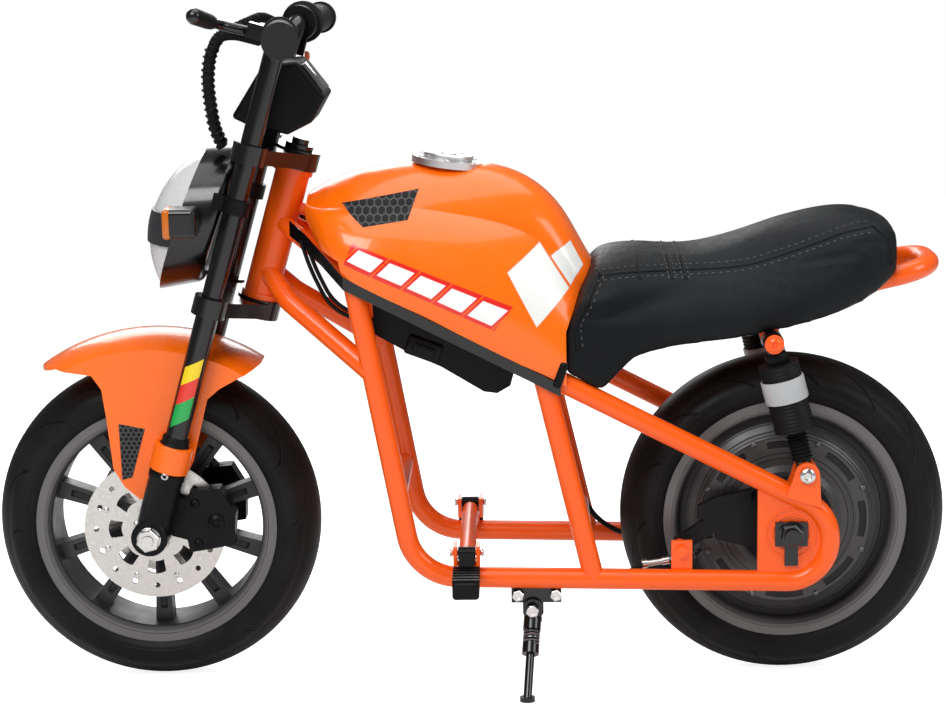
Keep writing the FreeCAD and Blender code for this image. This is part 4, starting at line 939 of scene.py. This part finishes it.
bm = bmesh.new()
bm.from_mesh(nodes["seat"].data)
bmesh.ops.remove_doubles(bm, verts=bm.verts, dist=1e-5)
mesh = bpy.data.meshes.new("sewn_seat")
bm.to_mesh(mesh)
bm.free()
seat = bpy.data.objects.new("sewn_seat", mesh)
bpy.context.collection.objects.link(seat)
even = seat.modifiers.new("even_faces", "REMESH")
even.mode, even.voxel_size = "VOXEL", SEAT_VOXEL
applied(seat)

bm = bmesh.new()
bm.from_mesh(seat.data)
cover, held = [], []
for vert in bm.verts:
    place, facing = back @ vert.co, (turn_back @ vert.normal).normalized()
    on_side_face = abs(place.y) > COVER_SIDE_Y and facing.y * place.y > 0 and abs(facing.y) > FACES_OUT
    within = COVER_REAR < place.x < COVER_FRONT and place.z > COVER_LOW
    (cover if within and (facing.z > FACES_UP or on_side_face) else held).append(vert)
for _ in range(EASING):
    bmesh.ops.smooth_vert(bm, verts=cover, factor=0.5, use_axis_x=True, use_axis_y=True, use_axis_z=True)
held = [vert.index for vert in held]
bm.to_mesh(seat.data)
bm.free()
seat.vertex_groups.new(name="held").add(held, 1.0, "ADD")
swell = seat.modifiers.new("swell", "CLOTH")
swell.settings.use_pressure = True
swell.settings.uniform_pressure_force = 4
swell.settings.vertex_group_mass = "held"
swell.settings.effector_weights.gravity = 0
for number in range(1, SEAT_FRAMES + 1):
    scene.frame_set(number)
swollen = seat.evaluated_get(bpy.context.evaluated_depsgraph_get()).data.vertices
moves = [now.co - then.co for now, then in zip(swollen, seat.data.vertices)]
seat.modifiers.clear()
for vert, move in zip(seat.data.vertices, moves):
    vert.co += move * min(1, SEAT_CAP / max(move.length, 1e-9))
print("seat cover moved up to", round(1000 * max(move.length for move in moves), 1), "mm")
soften = seat.modifiers.new("soften", "SUBSURF")
soften.levels = soften.render_levels = 1
applied(seat)
seat.data.materials.clear()
seat.data.materials.append(leather.material)
seat.data.shade_smooth()
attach(seat, "frame")
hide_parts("seat")

# %% [markdown]
# Seams go on last. Each is a route seen from the side, thrown onto the cover by straight lines from
# outside: a low ridge of folded leather with a row of stitches on one side or both.

# %% Seams, piping and stitches
STITCH_POINTS, STITCH_STEP = 3, 5
ARC_FROM_DEG, ARC_DEG, ARC_R, ARC_Z = 14, 152, 260, 425
cover_points = [vert.co for vert in seat.data.vertices]
cover_faces = [list(face.vertices) for face in seat.data.polygons]
skin = BVHTree.FromPolygons(cover_points, cover_faces)


def touch(start, aim):
    """Where a line from outside meets the cover, and the way out, in upright millimetres."""
    near, far = UPRIGHT @ Vector(start), UPRIGHT @ Vector(aim)
    place, facing, _, _ = skin.ray_cast(near, (far - near).normalized(), (far - near).length)
    return None if place is None else (back @ place, (turn_back @ facing).normalized())


def beside(route, shift):
    """A flat route moved sideways."""
    moved = []
    for n, point in enumerate(route):
        along = (route[min(n + 1, len(route) - 1)] - route[max(n - 1, 0)]).normalized()
        moved.append(point + Vector((-along.y, along.x)) * shift)
    return moved


def on_side(route, side, shift=0.0, step=1.5):
    places = beside(walked(rounded(route), step), shift)
    hits = [touch((x, 200 * side, z), (x, 0, z)) for x, z in places]
    return [hit for hit in hits if hit]


def over_top(x, lean, shift=0.0, step_deg=0.9):
    hits = []
    for n in range(int(ARC_DEG / step_deg) + 1):
        turn = math.radians(ARC_FROM_DEG + n * step_deg)
        at = x + shift - lean * (1 - math.sin(turn))
        start = (at, ARC_R * math.cos(turn), ARC_Z + ARC_R * math.sin(turn))
        hits.append(touch(start, (at, 0, ARC_Z)))
    return [hit for hit in hits if hit]


def ridge(hits, sunk):
    return [place - facing * sunk for place, facing in hits]


def stitches(hits):
    """Three points on the cover make a stitch, and the next two are left out."""
    starts = range(0, len(hits) - STITCH_POINTS, STITCH_STEP)
    return [[place + facing * 0.15 for place, facing in hits[n:n + STITCH_POINTS]] for n in starts]


SIDE_SEAM = [(-136, 447.6), (-170.1, 451.3), (-241.6, 452.3), (-292.6, 455.8), (-343.4, 472), (-393.8, 490),
             (-424, 494)]
FRONT_PIPING = [(-139, 450), (-124, 419), (-113, 402), (-116, 376)]
REAR_PIPING = [(-424, 494), (-436, 484), (-441, 470), (-441, 456)]
ridges, pipings, dashes = [], [], []
for side in (1, -1):
    ridges.append(ridge(on_side(SIDE_SEAM, side), 0.5))
    pipings.append(ridge(on_side(FRONT_PIPING, side), 0.3))
    pipings.append(ridge(on_side(REAR_PIPING, side), 0.3))
    for shift in (-4.5, 4.5):
        dashes += stitches(on_side(SIDE_SEAM, side, shift))
    dashes += stitches(on_side(FRONT_PIPING, side, -5.5))
for x in (-208, -222):
    ridges.append(ridge(over_top(x, 9), 0.7))
    dashes += stitches(over_top(x, 9, 3.4)) + stitches(over_top(x, 9, -3.4))
ridges.append(ridge(over_top(-178, 5), 0.9))
strand("seat_seams", ridges, 1.9, leather, "frame", fine=1)
strand("seat_piping", pipings, 2.4, leather, "frame", fine=2)
strand("seat_stitches", dashes, 0.55, thread, "frame", fine=1)
print("seat sewn with", len(dashes), "stitches")
